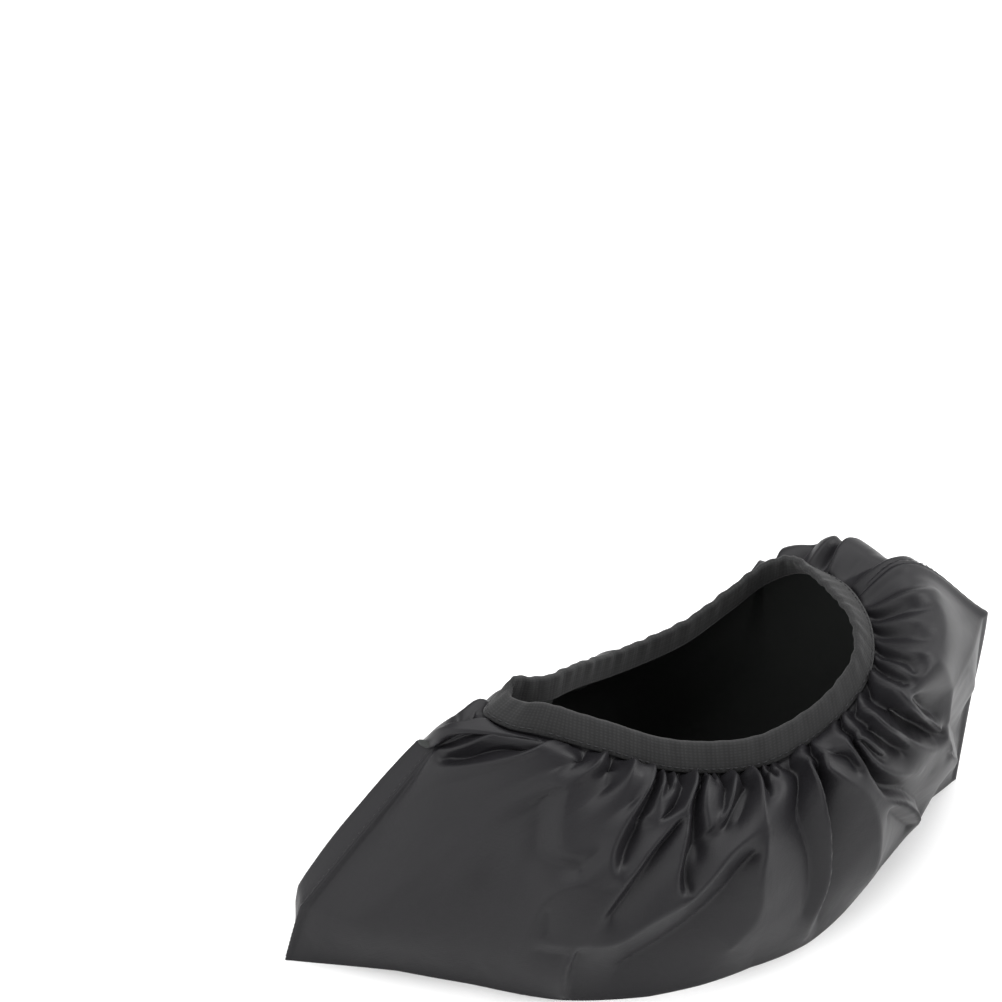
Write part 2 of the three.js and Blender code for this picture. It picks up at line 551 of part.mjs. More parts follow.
// A closed wall between an outer and an inner grid of points.
function closedWall(outer, inner, forward) {
  const columns = outer.length;
  const rows = outer[0].length;
  const positions = [...outer.flat(), ...inner.flat()].flatMap((p) => [p.x, p.y, p.z]);
  const at = (layer, i, j) => layer * columns * rows + i * rows + j;
  const faces = [];
  const quad = (a, b, c, d) => {
    if (forward) faces.push(a, b, c, a, c, d);
    else faces.push(a, c, b, a, d, c);
  };
  for (let i = 0; i < columns - 1; i++) {
    for (let j = 0; j < rows - 1; j++) {
      quad(at(0, i, j), at(0, i + 1, j), at(0, i + 1, j + 1), at(0, i, j + 1));
      quad(at(1, i, j), at(1, i, j + 1), at(1, i + 1, j + 1), at(1, i + 1, j));
    }
    quad(at(0, i, 0), at(1, i, 0), at(1, i + 1, 0), at(0, i + 1, 0));
    quad(at(0, i, rows - 1), at(0, i + 1, rows - 1), at(1, i + 1, rows - 1), at(1, i, rows - 1));
  }
  for (let j = 0; j < rows - 1; j++) {
    quad(at(0, 0, j), at(0, 0, j + 1), at(1, 0, j + 1), at(1, 0, j));
    quad(at(0, columns - 1, j), at(1, columns - 1, j), at(1, columns - 1, j + 1), at(0, columns - 1, j + 1));
  }
  return meshGeometry(positions, faces);
}

function meshGeometry(positions, faces) {
  const geometry = new THREE.BufferGeometry();
  geometry.setAttribute('position', new THREE.Float32BufferAttribute(positions, 3));
  geometry.setIndex(faces);
  geometry.computeVertexNormals();
  return geometry;
}

// The flat sole lies between the feet of the two panels.
function solePanel() {
  const inset = clothThick / 2 + seamGap;
  const tipBack = inset / Math.abs(footWay(0).x);
  const heelBack = inset / Math.abs(footWay(1).x);
  const edge = (side) => {
    const places = [];
    for (let i = 1; i < soleColumns; i++) {
      const place = footPlace(side, i / soleColumns, inset);
      places.push(new THREE.Vector2(place.x, place.y * side.sign));
    }
    return places;
  };
  const outline = [
    new THREE.Vector2(stations[0].footX + tipBack, 0),
    ...edge(near),
    new THREE.Vector2(stations[stations.length - 1].footX - heelBack, 0),
    ...edge(far).reverse(),
  ];
  return new THREE.ExtrudeGeometry(new THREE.Shape(outline), { depth: clothThick, bevelEnabled: false });
}

// The binding's cut end: a tape folded over the cloth's edge. out is towards the outside.
const bandSection = [
  { out: bandThick / 2, up: 0 },
  { out: bandThick / 2, up: bandHeight - 1 },
  { out: bandThick / 2 - 1, up: bandHeight },
  { out: 1 - bandThick / 2, up: bandHeight },
  { out: -bandThick / 2, up: bandHeight - 1 },
  { out: -bandThick / 2, up: 0 },
  { out: -bandSlot / 2, up: 0 },
  { out: -bandSlot / 2, up: bandHeight - 1.2 },
  { out: bandSlot / 2, up: bandHeight - 1.2 },
  { out: bandSlot / 2, up: 0 },
];

function rimBinding() {
  const positions = [];
  const faces = [];
  const sides = bandSection.length;
  for (let i = 0; i < bandStations; i++) {
    const frame = bandFrame(i / bandStations);
    for (const corner of bandSection) {
      const p = frame.base.clone().addScaledVector(frame.out, corner.out).addScaledVector(frame.up, corner.up);
      positions.push(p.x, p.y, p.z);
    }
    const here = i * sides;
    const next = ((i + 1) % bandStations) * sides;
    for (let k = 0; k < sides; k++) {
      const k2 = (k + 1) % sides;
      faces.push(here + k, next + k, next + k2, here + k, next + k2, here + k2);
    }
  }
  return meshGeometry(positions, faces);
}

const coatedCloth = { color: 0x35343a, roughness: 0.5, metalness: 0 };
const soleCloth = { color: 0x2c2c30, roughness: 0.6, metalness: 0 };
const knittedElastic = { color: 0x3b3b3a, roughness: 0.9, metalness: 0 };

function piece(name, geometry, finish) {
  const mesh = new THREE.Mesh(geometry, new THREE.MeshStandardMaterial(finish));
  mesh.name = name;
  return mesh;
}

const cover = new THREE.Group();
cover.add(
  piece('side_panel_near', sidePanel(near, nearColumns), coatedCloth),
  piece('side_panel_far', sidePanel(far, farColumns), coatedCloth),
  piece('sole_panel', solePanel(), soleCloth),
  piece('rim_binding', rimBinding(), knittedElastic),
);
cover.position.set(originShift.x, originShift.y, 0);

export default cover;
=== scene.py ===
# Boot cover for skates: gathered coated cloth, pointed toe, elastic binding round the opening.
# Metres in the scene; the pattern below is in millimetres, toe towards -X, standing on Z = 0.
import math
import bpy
import numpy as np
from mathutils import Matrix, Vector


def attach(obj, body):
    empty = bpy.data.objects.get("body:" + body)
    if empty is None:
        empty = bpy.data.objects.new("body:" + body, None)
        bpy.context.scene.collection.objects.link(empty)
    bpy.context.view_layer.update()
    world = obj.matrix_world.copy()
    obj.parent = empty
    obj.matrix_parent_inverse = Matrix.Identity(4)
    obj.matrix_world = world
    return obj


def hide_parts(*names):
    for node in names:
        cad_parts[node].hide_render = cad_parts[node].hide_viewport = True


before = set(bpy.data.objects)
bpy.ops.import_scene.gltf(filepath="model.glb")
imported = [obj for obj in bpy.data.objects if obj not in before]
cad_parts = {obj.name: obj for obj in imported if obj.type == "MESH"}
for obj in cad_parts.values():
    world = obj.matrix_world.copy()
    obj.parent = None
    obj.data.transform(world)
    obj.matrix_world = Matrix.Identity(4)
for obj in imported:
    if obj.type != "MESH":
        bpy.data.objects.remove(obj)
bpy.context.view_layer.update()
mm = 0.001
originShift = np.array([-2.9, -0.8, 0.0])  # from the pattern's origin to the middle of its box, mm


# small maths
def smoothStep(x, low, high):
    t = np.clip((np.asarray(x, float) - low) / (high - low), 0.0, 1.0)
    return t * t * (3 - 2 * t)


def unit(v):
    return v / np.maximum(np.linalg.norm(v, axis=-1, keepdims=True), 1e-9)


def cubic(a, b, c, d, f):
    return 0.5 * (2 * b + (c - a) * f + (2 * a - 5 * b + 4 * c - d) * f ** 2
                  + (3 * b - a - 3 * c + d) * f ** 3)


def blendRows(rows, share):
    # smooth values through equally spaced rows, one array for every named column
    last = len(rows) - 1
    along = np.clip(np.asarray(share, float), 0, 1) * last
    i = np.minimum(along.astype(int), last - 1)
    mixed = {}
    for name in rows[0]:
        v = np.array([row[name] for row in rows], float)
        v = np.concatenate([[2 * v[0] - v[1]], v, [2 * v[-1] - v[-2]]])
        mixed[name] = cubic(v[i], v[i + 1], v[i + 2], v[i + 3], along - i)
    return mixed


def blendLoop(rows, along):
    # the same round a closed loop of rows; along counts rows
    count = len(rows)
    i = np.floor(along).astype(int)
    mixed = {}
    for name in rows[0]:
        v = np.array([row[name] for row in rows], float)
        knots = [v[(i + step) % count] for step in (-1, 0, 1, 2)]
        mixed[name] = cubic(*knots, along - i)
    return mixed


def softBlur(field, acrossCells, upCells):
    # rounds a grid of heights with a small bell-shaped brush
    for axis, spread in ((0, acrossCells), (1, upCells)):
        reach = max(1, int(3 * spread))
        weights = np.exp(-0.5 * (np.arange(-reach, reach + 1) / spread) ** 2)
        weights /= weights.sum()
        padding = [(0, 0), (0, 0)]
        padding[axis] = (reach, reach)
        wide = np.pad(field, padding, mode="edge")
        size = field.shape[axis]
        field = sum(w * np.take(wide, range(k, k + size), axis=axis) for k, w in enumerate(weights))
    return field


# the pattern, in millimetres, from toe seam to heel seam; y is measured outwards. foot stands
# on the floor, belly is the widest height, crest is where the side turns over the top, and puff is
# where gathers stand beside the binding
stations = [
    dict(footX=-150, footY=0, bellyX=-142.5, bellyY=0, bellyZ=25, crestX=-84, crestY=0, crestZ=86.5,
         seamY=3.2, corner=0.85, nearShare=0, farShare=0, puffOut=8, pullX=-12.5, pullY=12,
         swing=0, nearPuff=1, farPuff=1, farDrop=0),
    dict(footX=-123, footY=17, bellyX=-119, bellyY=21, bellyZ=25, crestX=-86, crestY=20, crestZ=70,
         seamY=0, corner=0, nearShare=0.07, farShare=0.125, puffOut=8, pullX=0, pullY=0,
         swing=0.3, nearPuff=1, farPuff=0, farDrop=0),
    dict(footX=-92, footY=37, bellyX=-88, bellyY=42, bellyZ=26, crestX=-66, crestY=41, crestZ=67,
         seamY=0, corner=0, nearShare=0.155, farShare=0.25, puffOut=8, pullX=0, pullY=0,
         swing=0.4, nearPuff=1, farPuff=-5, farDrop=2),
    dict(footX=-52, footY=61, bellyX=-50, bellyY=66, bellyZ=27, crestX=-36, crestY=60, crestZ=65,
         seamY=0, corner=0, nearShare=0.265, farShare=0.375, puffOut=8, pullX=0, pullY=0,
         swing=0.4, nearPuff=1, farPuff=-5, farDrop=5),
    dict(footX=0, footY=71, bellyX=0, bellyY=76, bellyZ=28, crestX=3, crestY=69, crestZ=63,
         seamY=0, corner=0, nearShare=0.385, farShare=0.5, puffOut=8, pullX=0, pullY=0,
         swing=0.4, nearPuff=1, farPuff=-5, farDrop=6),
    dict(footX=43, footY=67, bellyX=44, bellyY=73, bellyZ=30, crestX=41, crestY=68, crestZ=66,
         seamY=0, corner=0, nearShare=0.5, farShare=0.625, puffOut=8, pullX=0, pullY=0,
         swing=0.4, nearPuff=1, farPuff=-3, farDrop=4),
    dict(footX=82, footY=47, bellyX=86, bellyY=55, bellyZ=32, crestX=80, crestY=56, crestZ=74,
         seamY=0, corner=0, nearShare=0.62, farShare=0.75, puffOut=9, pullX=0, pullY=0,
         swing=0.4, nearPuff=2, farPuff=2, farDrop=1),
    dict(footX=117, footY=22, bellyX=122, bellyY=30, bellyZ=36, crestX=117, crestY=36, crestZ=87,
         seamY=0, corner=0.3, nearShare=0.765, farShare=0.875, puffOut=11, pullX=0, pullY=0,
         swing=0.3, nearPuff=5, farPuff=6, farDrop=0),
    dict(footX=150, footY=0, bellyX=152.5, bellyY=0, bellyZ=40, crestX=156, crestY=0, crestZ=86.5,
         seamY=0, corner=0.9, nearShare=1, farShare=1, puffOut=13, pullX=0, pullY=0,
         swing=0, nearPuff=11, farPuff=11, farDrop=0),
]

# lower outside edge of the binding, once round from the top of the front seam by the near side
# to the heel and back; lean tips it inwards and tilt towards the heel, in degrees
rimRows = [dict(zip(("x", "y", "z", "lean", "tilt"), row)) for row in (
    (-50, -18, 97, 16, 16), (-40, -25, 95, 22, 0), (-26, -32, 90.5, 24, 0), (-8, -38.5, 83, 24, 0),
    (12, -42.5, 78, 22, 0), (32, -45.5, 77.5, 20, 0), (52, -46, 84, 20, 0), (68, -43.5, 93, 20, 0),
    (82, -36, 102, 26, 0), (91, -20, 109, 42, 0), (94, 0, 112, 60, 0), (92, 17, 111, 56, 0),
    (85, 33, 107, 34, 0), (72, 41, 98, 14, 0), (56, 41, 88.5, 10, 0), (36, 38.5, 80, 10, 0),
    (16, 35.5, 77.5, 10, 0), (-4, 28.5, 80.5, 10, 0), (-22, 18.5, 87.5, 10, 0), (-38, 10, 92, 8, 0),
    (-53, 8, 97, 6, 14), (-62, 5.5, 99, 4, 42), (-66.5, -2, 100, 0, 55), (-60.5, -12, 99, 6, 38))]
heelRow = 10
bandThick = 4.0
throatOut = 3.2  # how far out and down the gathers start beside the binding
throatDrop = 1.7
longestBend = 1.25
profileShares = np.array([0, 0.25, 0.6, 0.88, 0.955, 1.0])
crestKnot = 2
flankLength = 370.0
flankRise = 95.0

walkSteps = 1200
walkAlong = np.linspace(0, len(rimRows), walkSteps + 1)
walkPlace = blendLoop(rimRows, walkAlong)
walkPlace = np.stack([walkPlace["x"], walkPlace["y"], walkPlace["z"]], -1)
walkLength = np.concatenate([[0], np.cumsum(np.linalg.norm(np.diff(walkPlace, axis=0), axis=1))])
rimLength = walkLength[-1]
heelShare = np.interp(heelRow, walkAlong, walkLength) / rimLength


def rimAt(share):
    wanted = (share - np.floor(share)) * rimLength
    return blendLoop(rimRows, np.interp(wanted, walkLength, walkAlong) % len(rimRows))


def bandFrame(share):
    # middle of the binding's lower edge, the way out of the opening and the way up the tape
    here = rimAt(share)
    ahead = rimAt(share + 0.004)
    behind = rimAt(share - 0.004)
    tangent = unit(np.stack([ahead[k] - behind[k] for k in "xyz"], -1))
    level = unit(np.stack([tangent[..., 1], -tangent[..., 0], np.zeros_like(tangent[..., 0])], -1))
    tilted = np.tan(np.radians(here["tilt"]))
    up = np.stack([tilted, np.zeros_like(tilted), np.ones_like(tilted)], -1)
    up = unit(up - level * np.tan(np.radians(here["lean"]))[..., None])
    out = unit(np.cross(tangent, up))
    base = np.stack([here[k] for k in "xyz"], -1) - out * bandThick / 2
    return base, out, up


def throughKnots(points, share, corner):
    # smooth curve through points (n, knots, 3) at share (n,); corner sharpens the lower bends
    knots = profileShares
    last = len(knots) - 1
    slope = (points[:, 1:] - points[:, :-1]) / np.diff(knots)[:, None]
    i = np.clip(np.searchsorted(knots, share, side="left") - 1, 0, last - 1)
    rows = np.arange(len(share))
    own = slope[rows, i]
    ends = []
    for k in (i, i + 1):
        kk = np.clip(k, 1, last - 1)
        h0 = (knots[kk] - knots[kk - 1])[:, None]
        h1 = (knots[kk + 1] - knots[kk])[:, None]
        low, high = slope[rows, kk - 1], slope[rows, kk]
        even = (low * h1 + high * h0) / (h0 + h1)
        most = longestBend * np.minimum(np.linalg.norm(low, axis=1), np.linalg.norm(high, axis=1))
        even = even * np.minimum(1, most / np.maximum(np.linalg.norm(even, axis=1), 1e-9))[:, None]
        sharp = np.where(kk <= crestKnot, corner, 0)[:, None]
        even = even + (own - even) * sharp
        ends.append(np.where(((k == 0) | (k == last))[:, None], own, even))
    gap = (knots[i + 1] - knots[i])
    f = ((share - knots[i]) / gap)[:, None]
    gap = gap[:, None]
    return (points[rows, i] * (2 * f ** 3 - 3 * f ** 2 + 1) + ends[0] * gap * (f ** 3 - 2 * f ** 2 + f)
            + points[rows, i + 1] * (3 * f ** 2 - 2 * f ** 3) + ends[1] * gap * (f ** 3 - f ** 2))


# how far the near side's foot stands out of its even outline, straight between these places
nearFootSteps = [dict(zip(("at", "out"), row)) for row in (
    (0, 0), (0.17, -2.4), (0.27, -0.6), (0.36, 1.6), (0.44, 3.4), (0.49, 2.4), (0.55, 0.1), (0.63, 1.0),
    (0.70, 0.4), (0.79, -1.0), (0.89, 0.1), (0.945, -2.8), (1, 0))]

nearSide = dict(sign=-1, share="nearShare", puff="nearPuff", swing=1.0)
farSide = dict(sign=1, share="farShare", puff="farPuff", swing=0.0)


def rimShareOf(side, part):
    return part * heelShare if side["sign"] < 0 else 1 - part * (1 - heelShare)


def footPlace(side, along, inset=0.0):
    # x and y of the foot's edge, y measured outwards
    row = blendRows(stations, along)
    ahead = blendRows(stations, np.minimum(along + 0.01, 1))
    behind = blendRows(stations, np.maximum(along - 0.01, 0))
    way = unit(np.stack([behind["footY"] - ahead["footY"], ahead["footX"] - behind["footX"]], -1))
    out = -inset + np.zeros(len(along))
    if side["sign"] < 0:
        places, outs = zip(*[(step["at"], step["out"]) for step in nearFootSteps])
        out += np.interp(along, places, outs)
    return row["footX"] + way[:, 0] * out, row["footY"] + way[:, 1] * out


def plainSide(side, along, up):
    # the unfolded side at shares of its length and rise, arrays of one shape, in millimetres
    shape = np.shape(along)
    along, up = np.ravel(along).astype(float), np.ravel(up).astype(float)
    row = blendRows(stations, along)
    sign = side["sign"]
    base, out, upWay = bandFrame(rimShareOf(side, row[side["share"]]))
    way = unit(np.stack([(base[:, 0] - 15) * 0.55, base[:, 1], np.zeros(len(base))], -1))
    way[:, 0] += side["swing"] * row["swing"] * np.abs(way[:, 1])
    puff = base + way * (row["puffOut"] + bandThick / 2)[:, None]
    puff += np.stack([row["pullX"], row["pullY"], row[side["puff"]]], -1)
    zero = np.zeros(len(along))
    footX, footY = footPlace(side, along)
    drop = row["farDrop"] if sign > 0 else zero
    points = np.stack([
        np.stack([footX, footY * sign, zero], -1),
        np.stack([row["bellyX"], row["bellyY"] * sign, row["bellyZ"]], -1),
        np.stack([row["crestX"], (row["crestY"] - drop) * sign + row["seamY"], row["crestZ"] - drop], -1),
        puff,
        base + out * throatOut - upWay * throatDrop,
        base - upWay * (throatDrop - 0.4),
    ], 1)
    return throughKnots(points, up, np.clip(row["corner"], 0, 1)).reshape(shape + (3,))


def gridNormals(points, sign):
    alongWay = np.gradient(points, axis=0)
    upWay = np.gradient(points, axis=1)
    return unit(np.cross(alongWay, upWay)) * -sign


# every crease of the near side, toe to heel: share of the side's length, share of its rise, and the
# height there in mm, minus where the cloth sinks in; lines that reach 0.985 go under the binding
nearFolds = dict(
    pocketLip=[(0.004, 0.585, 0.6), (0.02, 0.592, 1.6), (0.045, 0.63, 2.4), (0.07, 0.72, 2.8),
        (0.087, 0.80, 3.0), (0.090, 0.87, 2.6), (0.078, 0.93, 1.8), (0.055, 0.97, 0.6)],
    pocketFloor=[(0.030, 0.64, -0.4), (0.052, 0.70, -1.6), (0.065, 0.79, -2.4), (0.079, 0.87, -2.6),
        (0.060, 0.915, -1.6)],
    pocketStrip=[(0.010, 0.62, 1.2), (0.026, 0.70, 1.4), (0.030, 0.79, 1.4), (0.018, 0.89, 1.0)],
    toeShoulder=[(0.105, 0.985, 0.6), (0.104, 0.90, 1.4), (0.098, 0.79, 1.4), (0.078, 0.64, 1.0),
        (0.04, 0.50, 0.5)],
    toePleat=[(0.170, 0.985, -1.0), (0.158, 0.93, -2.6), (0.157, 0.87, -2.4), (0.168, 0.835, -1.2)],
    toePleatEdge=[(0.233, 0.985, 1.0), (0.222, 0.93, 2.4), (0.208, 0.87, 2.2), (0.205, 0.82, 1.4),
        (0.222, 0.785, 0.8)],
    secondPleat=[(0.251, 0.985, -1.2), (0.242, 0.93, -3.0), (0.241, 0.87, -2.8), (0.252, 0.83, -2.0),
        (0.275, 0.79, -1.4)],
    secondPleatEdge=[(0.303, 0.985, 1.2), (0.291, 0.93, 2.8), (0.285, 0.87, 2.8), (0.296, 0.82, 2.2),
        (0.315, 0.785, 1.6), (0.332, 0.765, 1.0)],
    pouchEdge=[(0.15, 0.80, 0.5), (0.19, 0.765, 1.2), (0.22, 0.755, 1.4), (0.25, 0.71, 1.7),
        (0.28, 0.655, 1.9), (0.305, 0.61, 1.8), (0.33, 0.60, 1.4), (0.35, 0.61, 0.8)],
    pouchShade=[(0.20, 0.725, -0.4), (0.25, 0.655, -0.9), (0.29, 0.575, -1.0), (0.34, 0.555, -0.6)],
    kneeEdge=[(0.353, 0.985, 1.4), (0.345, 0.94, 2.6), (0.333, 0.895, 2.8), (0.331, 0.85, 2.8),
        (0.336, 0.80, 3.0), (0.346, 0.735, 3.0), (0.358, 0.67, 2.8), (0.370, 0.605, 2.6),
        (0.382, 0.545, 2.2), (0.390, 0.517, 1.8), (0.398, 0.512, 1.6)],
    kneeHollow=[(0.362, 0.985, -1.2), (0.353, 0.94, -2.4), (0.3405, 0.895, -2.8), (0.339, 0.85, -2.8),
        (0.347, 0.79, -2.2), (0.359, 0.735, -1.8), (0.371, 0.69, -2.4), (0.379, 0.64, -2.0),
        (0.386, 0.585, -0.8)],
    kneePleat=[(0.377, 0.985, 1.0), (0.365, 0.94, 1.8), (0.353, 0.895, 1.8), (0.353, 0.85, 1.8),
        (0.361, 0.80, 1.5), (0.376, 0.765, 1.2), (0.392, 0.735, 1.2)],
    kneePleatShade=[(0.384, 0.985, -1.0), (0.373, 0.93, -2.0), (0.363, 0.88, -1.8), (0.370, 0.82, -1.0)],
    smallPleat=[(0.402, 0.985, 1.0), (0.392, 0.94, 1.4), (0.379, 0.90, 1.2), (0.374, 0.86, 0.9)],
    lensHollow=[(0.412, 0.985, -1.0), (0.402, 0.93, -1.8), (0.392, 0.88, -1.8), (0.396, 0.80, -2.2),
        (0.402, 0.755, -2.4), (0.394, 0.735, -1.2)],
    lensTop=[(0.362, 0.722, 0.8), (0.380, 0.716, 1.0), (0.397, 0.727, 1.3), (0.410, 0.748, 1.4)],
    lensLeft=[(0.410, 0.745, 1.4), (0.4155, 0.71, 1.6), (0.413, 0.66, 2.0), (0.407, 0.58, 2.2),
        (0.398, 0.512, 1.8), (0.388, 0.44, 1.4), (0.377, 0.37, 1.6), (0.372, 0.32, 1.8),
        (0.373, 0.298, 1.8)],
    lensFloor=[(0.423, 0.715, -1.0), (0.421, 0.65, -1.8), (0.415, 0.56, -1.9), (0.405, 0.47, -1.4),
        (0.391, 0.39, -0.6)],
    lensRight=[(0.455, 0.985, 1.4), (0.444, 0.94, 2.8), (0.424, 0.895, 3.0), (0.413, 0.85, 2.8),
        (0.4125, 0.80, 2.6), (0.420, 0.76, 2.4), (0.433, 0.72, 2.4), (0.445, 0.67, 2.6),
        (0.452, 0.60, 2.8), (0.4535, 0.52, 2.6), (0.457, 0.46, 2.6), (0.462, 0.437, 2.8)],
    darkCleft=[(0.463, 0.985, -1.4), (0.452, 0.94, -3.0), (0.431, 0.895, -3.4), (0.4205, 0.85, -3.4),
        (0.426, 0.80, -3.2), (0.438, 0.75, -3.4), (0.452, 0.70, -3.8), (0.464, 0.655, -4.0),
        (0.474, 0.62, -3.0), (0.476, 0.575, -1.6)],
    cleftTail=[(0.464, 0.655, -4.0), (0.462, 0.58, -2.6), (0.4635, 0.50, -1.2), (0.469, 0.465, 0.4)],
    middlePleat=[(0.473, 0.985, 1.4), (0.465, 0.945, 2.4), (0.445, 0.90, 2.4), (0.433, 0.86, 2.2),
        (0.432, 0.82, 2.0), (0.442, 0.77, 1.8), (0.457, 0.73, 1.6), (0.472, 0.69, 1.2)],
    middleCleft=[(0.480, 0.985, -0.8), (0.470, 0.94, -1.2), (0.455, 0.905, -0.8)],
    middleSecond=[(0.493, 0.985, 1.0), (0.483, 0.94, 1.8), (0.465, 0.90, 1.4), (0.453, 0.87, 0.8)],
    middleHollow=[(0.503, 0.985, -1.0), (0.493, 0.94, -2.2), (0.477, 0.89, -2.0), (0.470, 0.82, -1.2),
        (0.478, 0.76, -0.9)],
    innerPleat=[(0.534, 0.985, 1.4), (0.526, 0.95, 2.4), (0.505, 0.90, 2.6), (0.487, 0.86, 2.4),
        (0.4815, 0.82, 2.2), (0.484, 0.77, 1.8), (0.487, 0.72, 1.4)],
    innerHollow=[(0.548, 0.985, -1.4), (0.537, 0.94, -2.6), (0.515, 0.885, -2.4), (0.500, 0.84, -2.4),
        (0.494, 0.79, -2.2), (0.492, 0.74, -1.8), (0.497, 0.69, -1.2)],
    innerShade=[(0.518, 0.86, -1.8), (0.511, 0.80, -1.6), (0.512, 0.71, -1.2)],
    apexEdge=[(0.588, 0.985, 1.4), (0.580, 0.955, 3.0), (0.560, 0.915, 3.2), (0.541, 0.88, 3.2),
        (0.533, 0.84, 3.2), (0.532, 0.80, 3.4), (0.536, 0.76, 3.6), (0.543, 0.72, 3.8),
        (0.551, 0.68, 4.0), (0.558, 0.65, 4.2)],
    slantEdge=[(0.558, 0.65, 4.2), (0.546, 0.652, 3.8), (0.53, 0.632, 3.6), (0.51, 0.59, 3.6),
        (0.495, 0.54, 3.6), (0.481, 0.49, 3.4), (0.467, 0.447, 3.2), (0.455, 0.42, 3.0),
        (0.435, 0.385, 2.8), (0.420, 0.35, 2.6), (0.408, 0.315, 2.4), (0.392, 0.297, 2.0),
        (0.370, 0.298, 1.6)],
    slantShade=[(0.546, 0.56, -0.2), (0.530, 0.50, -1.6), (0.512, 0.43, -2.4), (0.490, 0.355, -3.0),
        (0.465, 0.28, -3.4), (0.438, 0.205, -3.6), (0.415, 0.14, -3.2), (0.405, 0.06, -1.4)],
    facetEdge=[(0.560, 0.63, 4.0), (0.556, 0.56, 3.6), (0.551, 0.50, 3.4), (0.547, 0.42, 3.2),
        (0.546, 0.35, 2.8), (0.538, 0.27, 2.0), (0.515, 0.17, 1.0)],
    apexCleft=[(0.600, 0.985, -1.4), (0.592, 0.955, -3.0), (0.573, 0.92, -3.6), (0.554, 0.88, -2.8),
        (0.545, 0.835, -1.6), (0.549, 0.785, -0.4)],
    apexPleat=[(0.613, 0.985, 1.0), (0.604, 0.955, 2.2), (0.585, 0.92, 2.2), (0.563, 0.88, 1.8),
        (0.553, 0.845, 1.2)],
    apexSmallCleft=[(0.620, 0.97, -0.8), (0.600, 0.925, -0.8), (0.576, 0.885, -0.6)],
    apexSecond=[(0.635, 0.985, 0.8), (0.625, 0.95, 1.6), (0.600, 0.905, 1.6), (0.576, 0.855, 1.2),
        (0.562, 0.80, 0.8)],
    wideHollow=[(0.668, 0.985, -1.0), (0.655, 0.94, -2.6), (0.627, 0.89, -3.0), (0.612, 0.84, -3.2),
        (0.608, 0.78, -3.4), (0.612, 0.70, -3.2), (0.617, 0.60, -2.8), (0.621, 0.50, -2.2),
        (0.622, 0.40, -1.5), (0.618, 0.30, -0.9), (0.61, 0.20, -0.4)],
    longEdge=[(0.713, 0.985, 1.4), (0.705, 0.96, 2.6), (0.680, 0.92, 2.8), (0.657, 0.88, 3.0),
        (0.643, 0.84, 3.2), (0.639, 0.79, 3.4), (0.641, 0.72, 3.6), (0.6445, 0.62, 3.8),
        (0.6425, 0.52, 3.6), (0.639, 0.42, 3.2), (0.635, 0.33, 2.8), (0.628, 0.24, 2.2),
        (0.622, 0.15, 1.6), (0.622, 0.06, 0.8)],
    longCleft=[(0.722, 0.985, -1.0), (0.715, 0.955, -2.2), (0.692, 0.92, -2.6), (0.667, 0.88, -3.0),
        (0.653, 0.84, -3.4), (0.649, 0.78, -3.6), (0.652, 0.70, -4.0), (0.655, 0.60, -4.0),
        (0.653, 0.50, -3.8), (0.651, 0.40, -3.4), (0.648, 0.30, -2.8), (0.644, 0.20, -2.0),
        (0.642, 0.09, -1.0)],
    longBack=[(0.736, 0.985, 0.9), (0.720, 0.94, 1.8), (0.690, 0.89, 2.2), (0.672, 0.84, 2.4),
        (0.665, 0.79, 2.4), (0.675, 0.74, 2.4), (0.690, 0.66, 2.8), (0.700, 0.58, 3.0),
        (0.706, 0.50, 3.2), (0.710, 0.40, 3.2), (0.712, 0.30, 3.0), (0.713, 0.20, 2.4),
        (0.714, 0.09, 1.2)],
    backShade=[(0.700, 0.86, -0.6), (0.7075, 0.79, -1.0), (0.708, 0.70, -0.6)],
    backPleat=[(0.757, 0.985, 1.0), (0.744, 0.945, 1.6), (0.712, 0.90, 1.4)],
    stripEdge=[(0.796, 0.985, 1.0), (0.785, 0.955, 2.2), (0.760, 0.92, 2.4), (0.738, 0.88, 2.4),
        (0.725, 0.83, 2.4), (0.719, 0.77, 2.2), (0.7175, 0.70, 2.2), (0.7185, 0.62, 2.2),
        (0.7215, 0.54, 2.4), (0.728, 0.48, 2.6), (0.740, 0.44, 2.8), (0.760, 0.385, 2.8),
        (0.785, 0.30, 2.8), (0.810, 0.21, 2.6), (0.840, 0.12, 2.0), (0.868, 0.04, 1.0)],
    stripCleft=[(0.803, 0.985, -1.0), (0.791, 0.955, -2.6), (0.766, 0.91, -2.8), (0.745, 0.87, -3.0),
        (0.7325, 0.82, -3.2), (0.7265, 0.76, -3.4), (0.7245, 0.68, -3.4), (0.726, 0.60, -3.2),
        (0.729, 0.54, -3.0), (0.7365, 0.49, -2.6), (0.752, 0.45, -2.4), (0.782, 0.37, -2.6),
        (0.812, 0.275, -2.6), (0.842, 0.18, -2.2), (0.870, 0.09, -1.4), (0.888, 0.03, -0.6)],
    thirdPleat=[(0.821, 0.985, 0.8), (0.806, 0.95, 1.8), (0.775, 0.91, 2.2), (0.752, 0.87, 2.2),
        (0.7385, 0.82, 2.4), (0.733, 0.76, 2.4), (0.732, 0.70, 2.4), (0.736, 0.63, 2.4),
        (0.745, 0.57, 2.4), (0.757, 0.52, 2.2), (0.777, 0.47, 1.8), (0.80, 0.42, 1.2)],
    thirdCleft=[(0.746, 0.85, -0.6), (0.741, 0.78, -1.0), (0.7405, 0.70, -0.8), (0.746, 0.63, -0.2)],
    thirdSecond=[(0.756, 0.86, 1.2), (0.748, 0.80, 1.5), (0.747, 0.72, 1.5), (0.751, 0.66, 1.1)],
    heelHollow=[(0.848, 0.985, -1.0), (0.831, 0.955, -2.0), (0.800, 0.91, -2.4), (0.775, 0.87, -2.4),
        (0.765, 0.82, -2.6), (0.762, 0.75, -2.8), (0.765, 0.68, -2.8), (0.772, 0.60, -2.4),
        (0.778, 0.56, -1.0)],
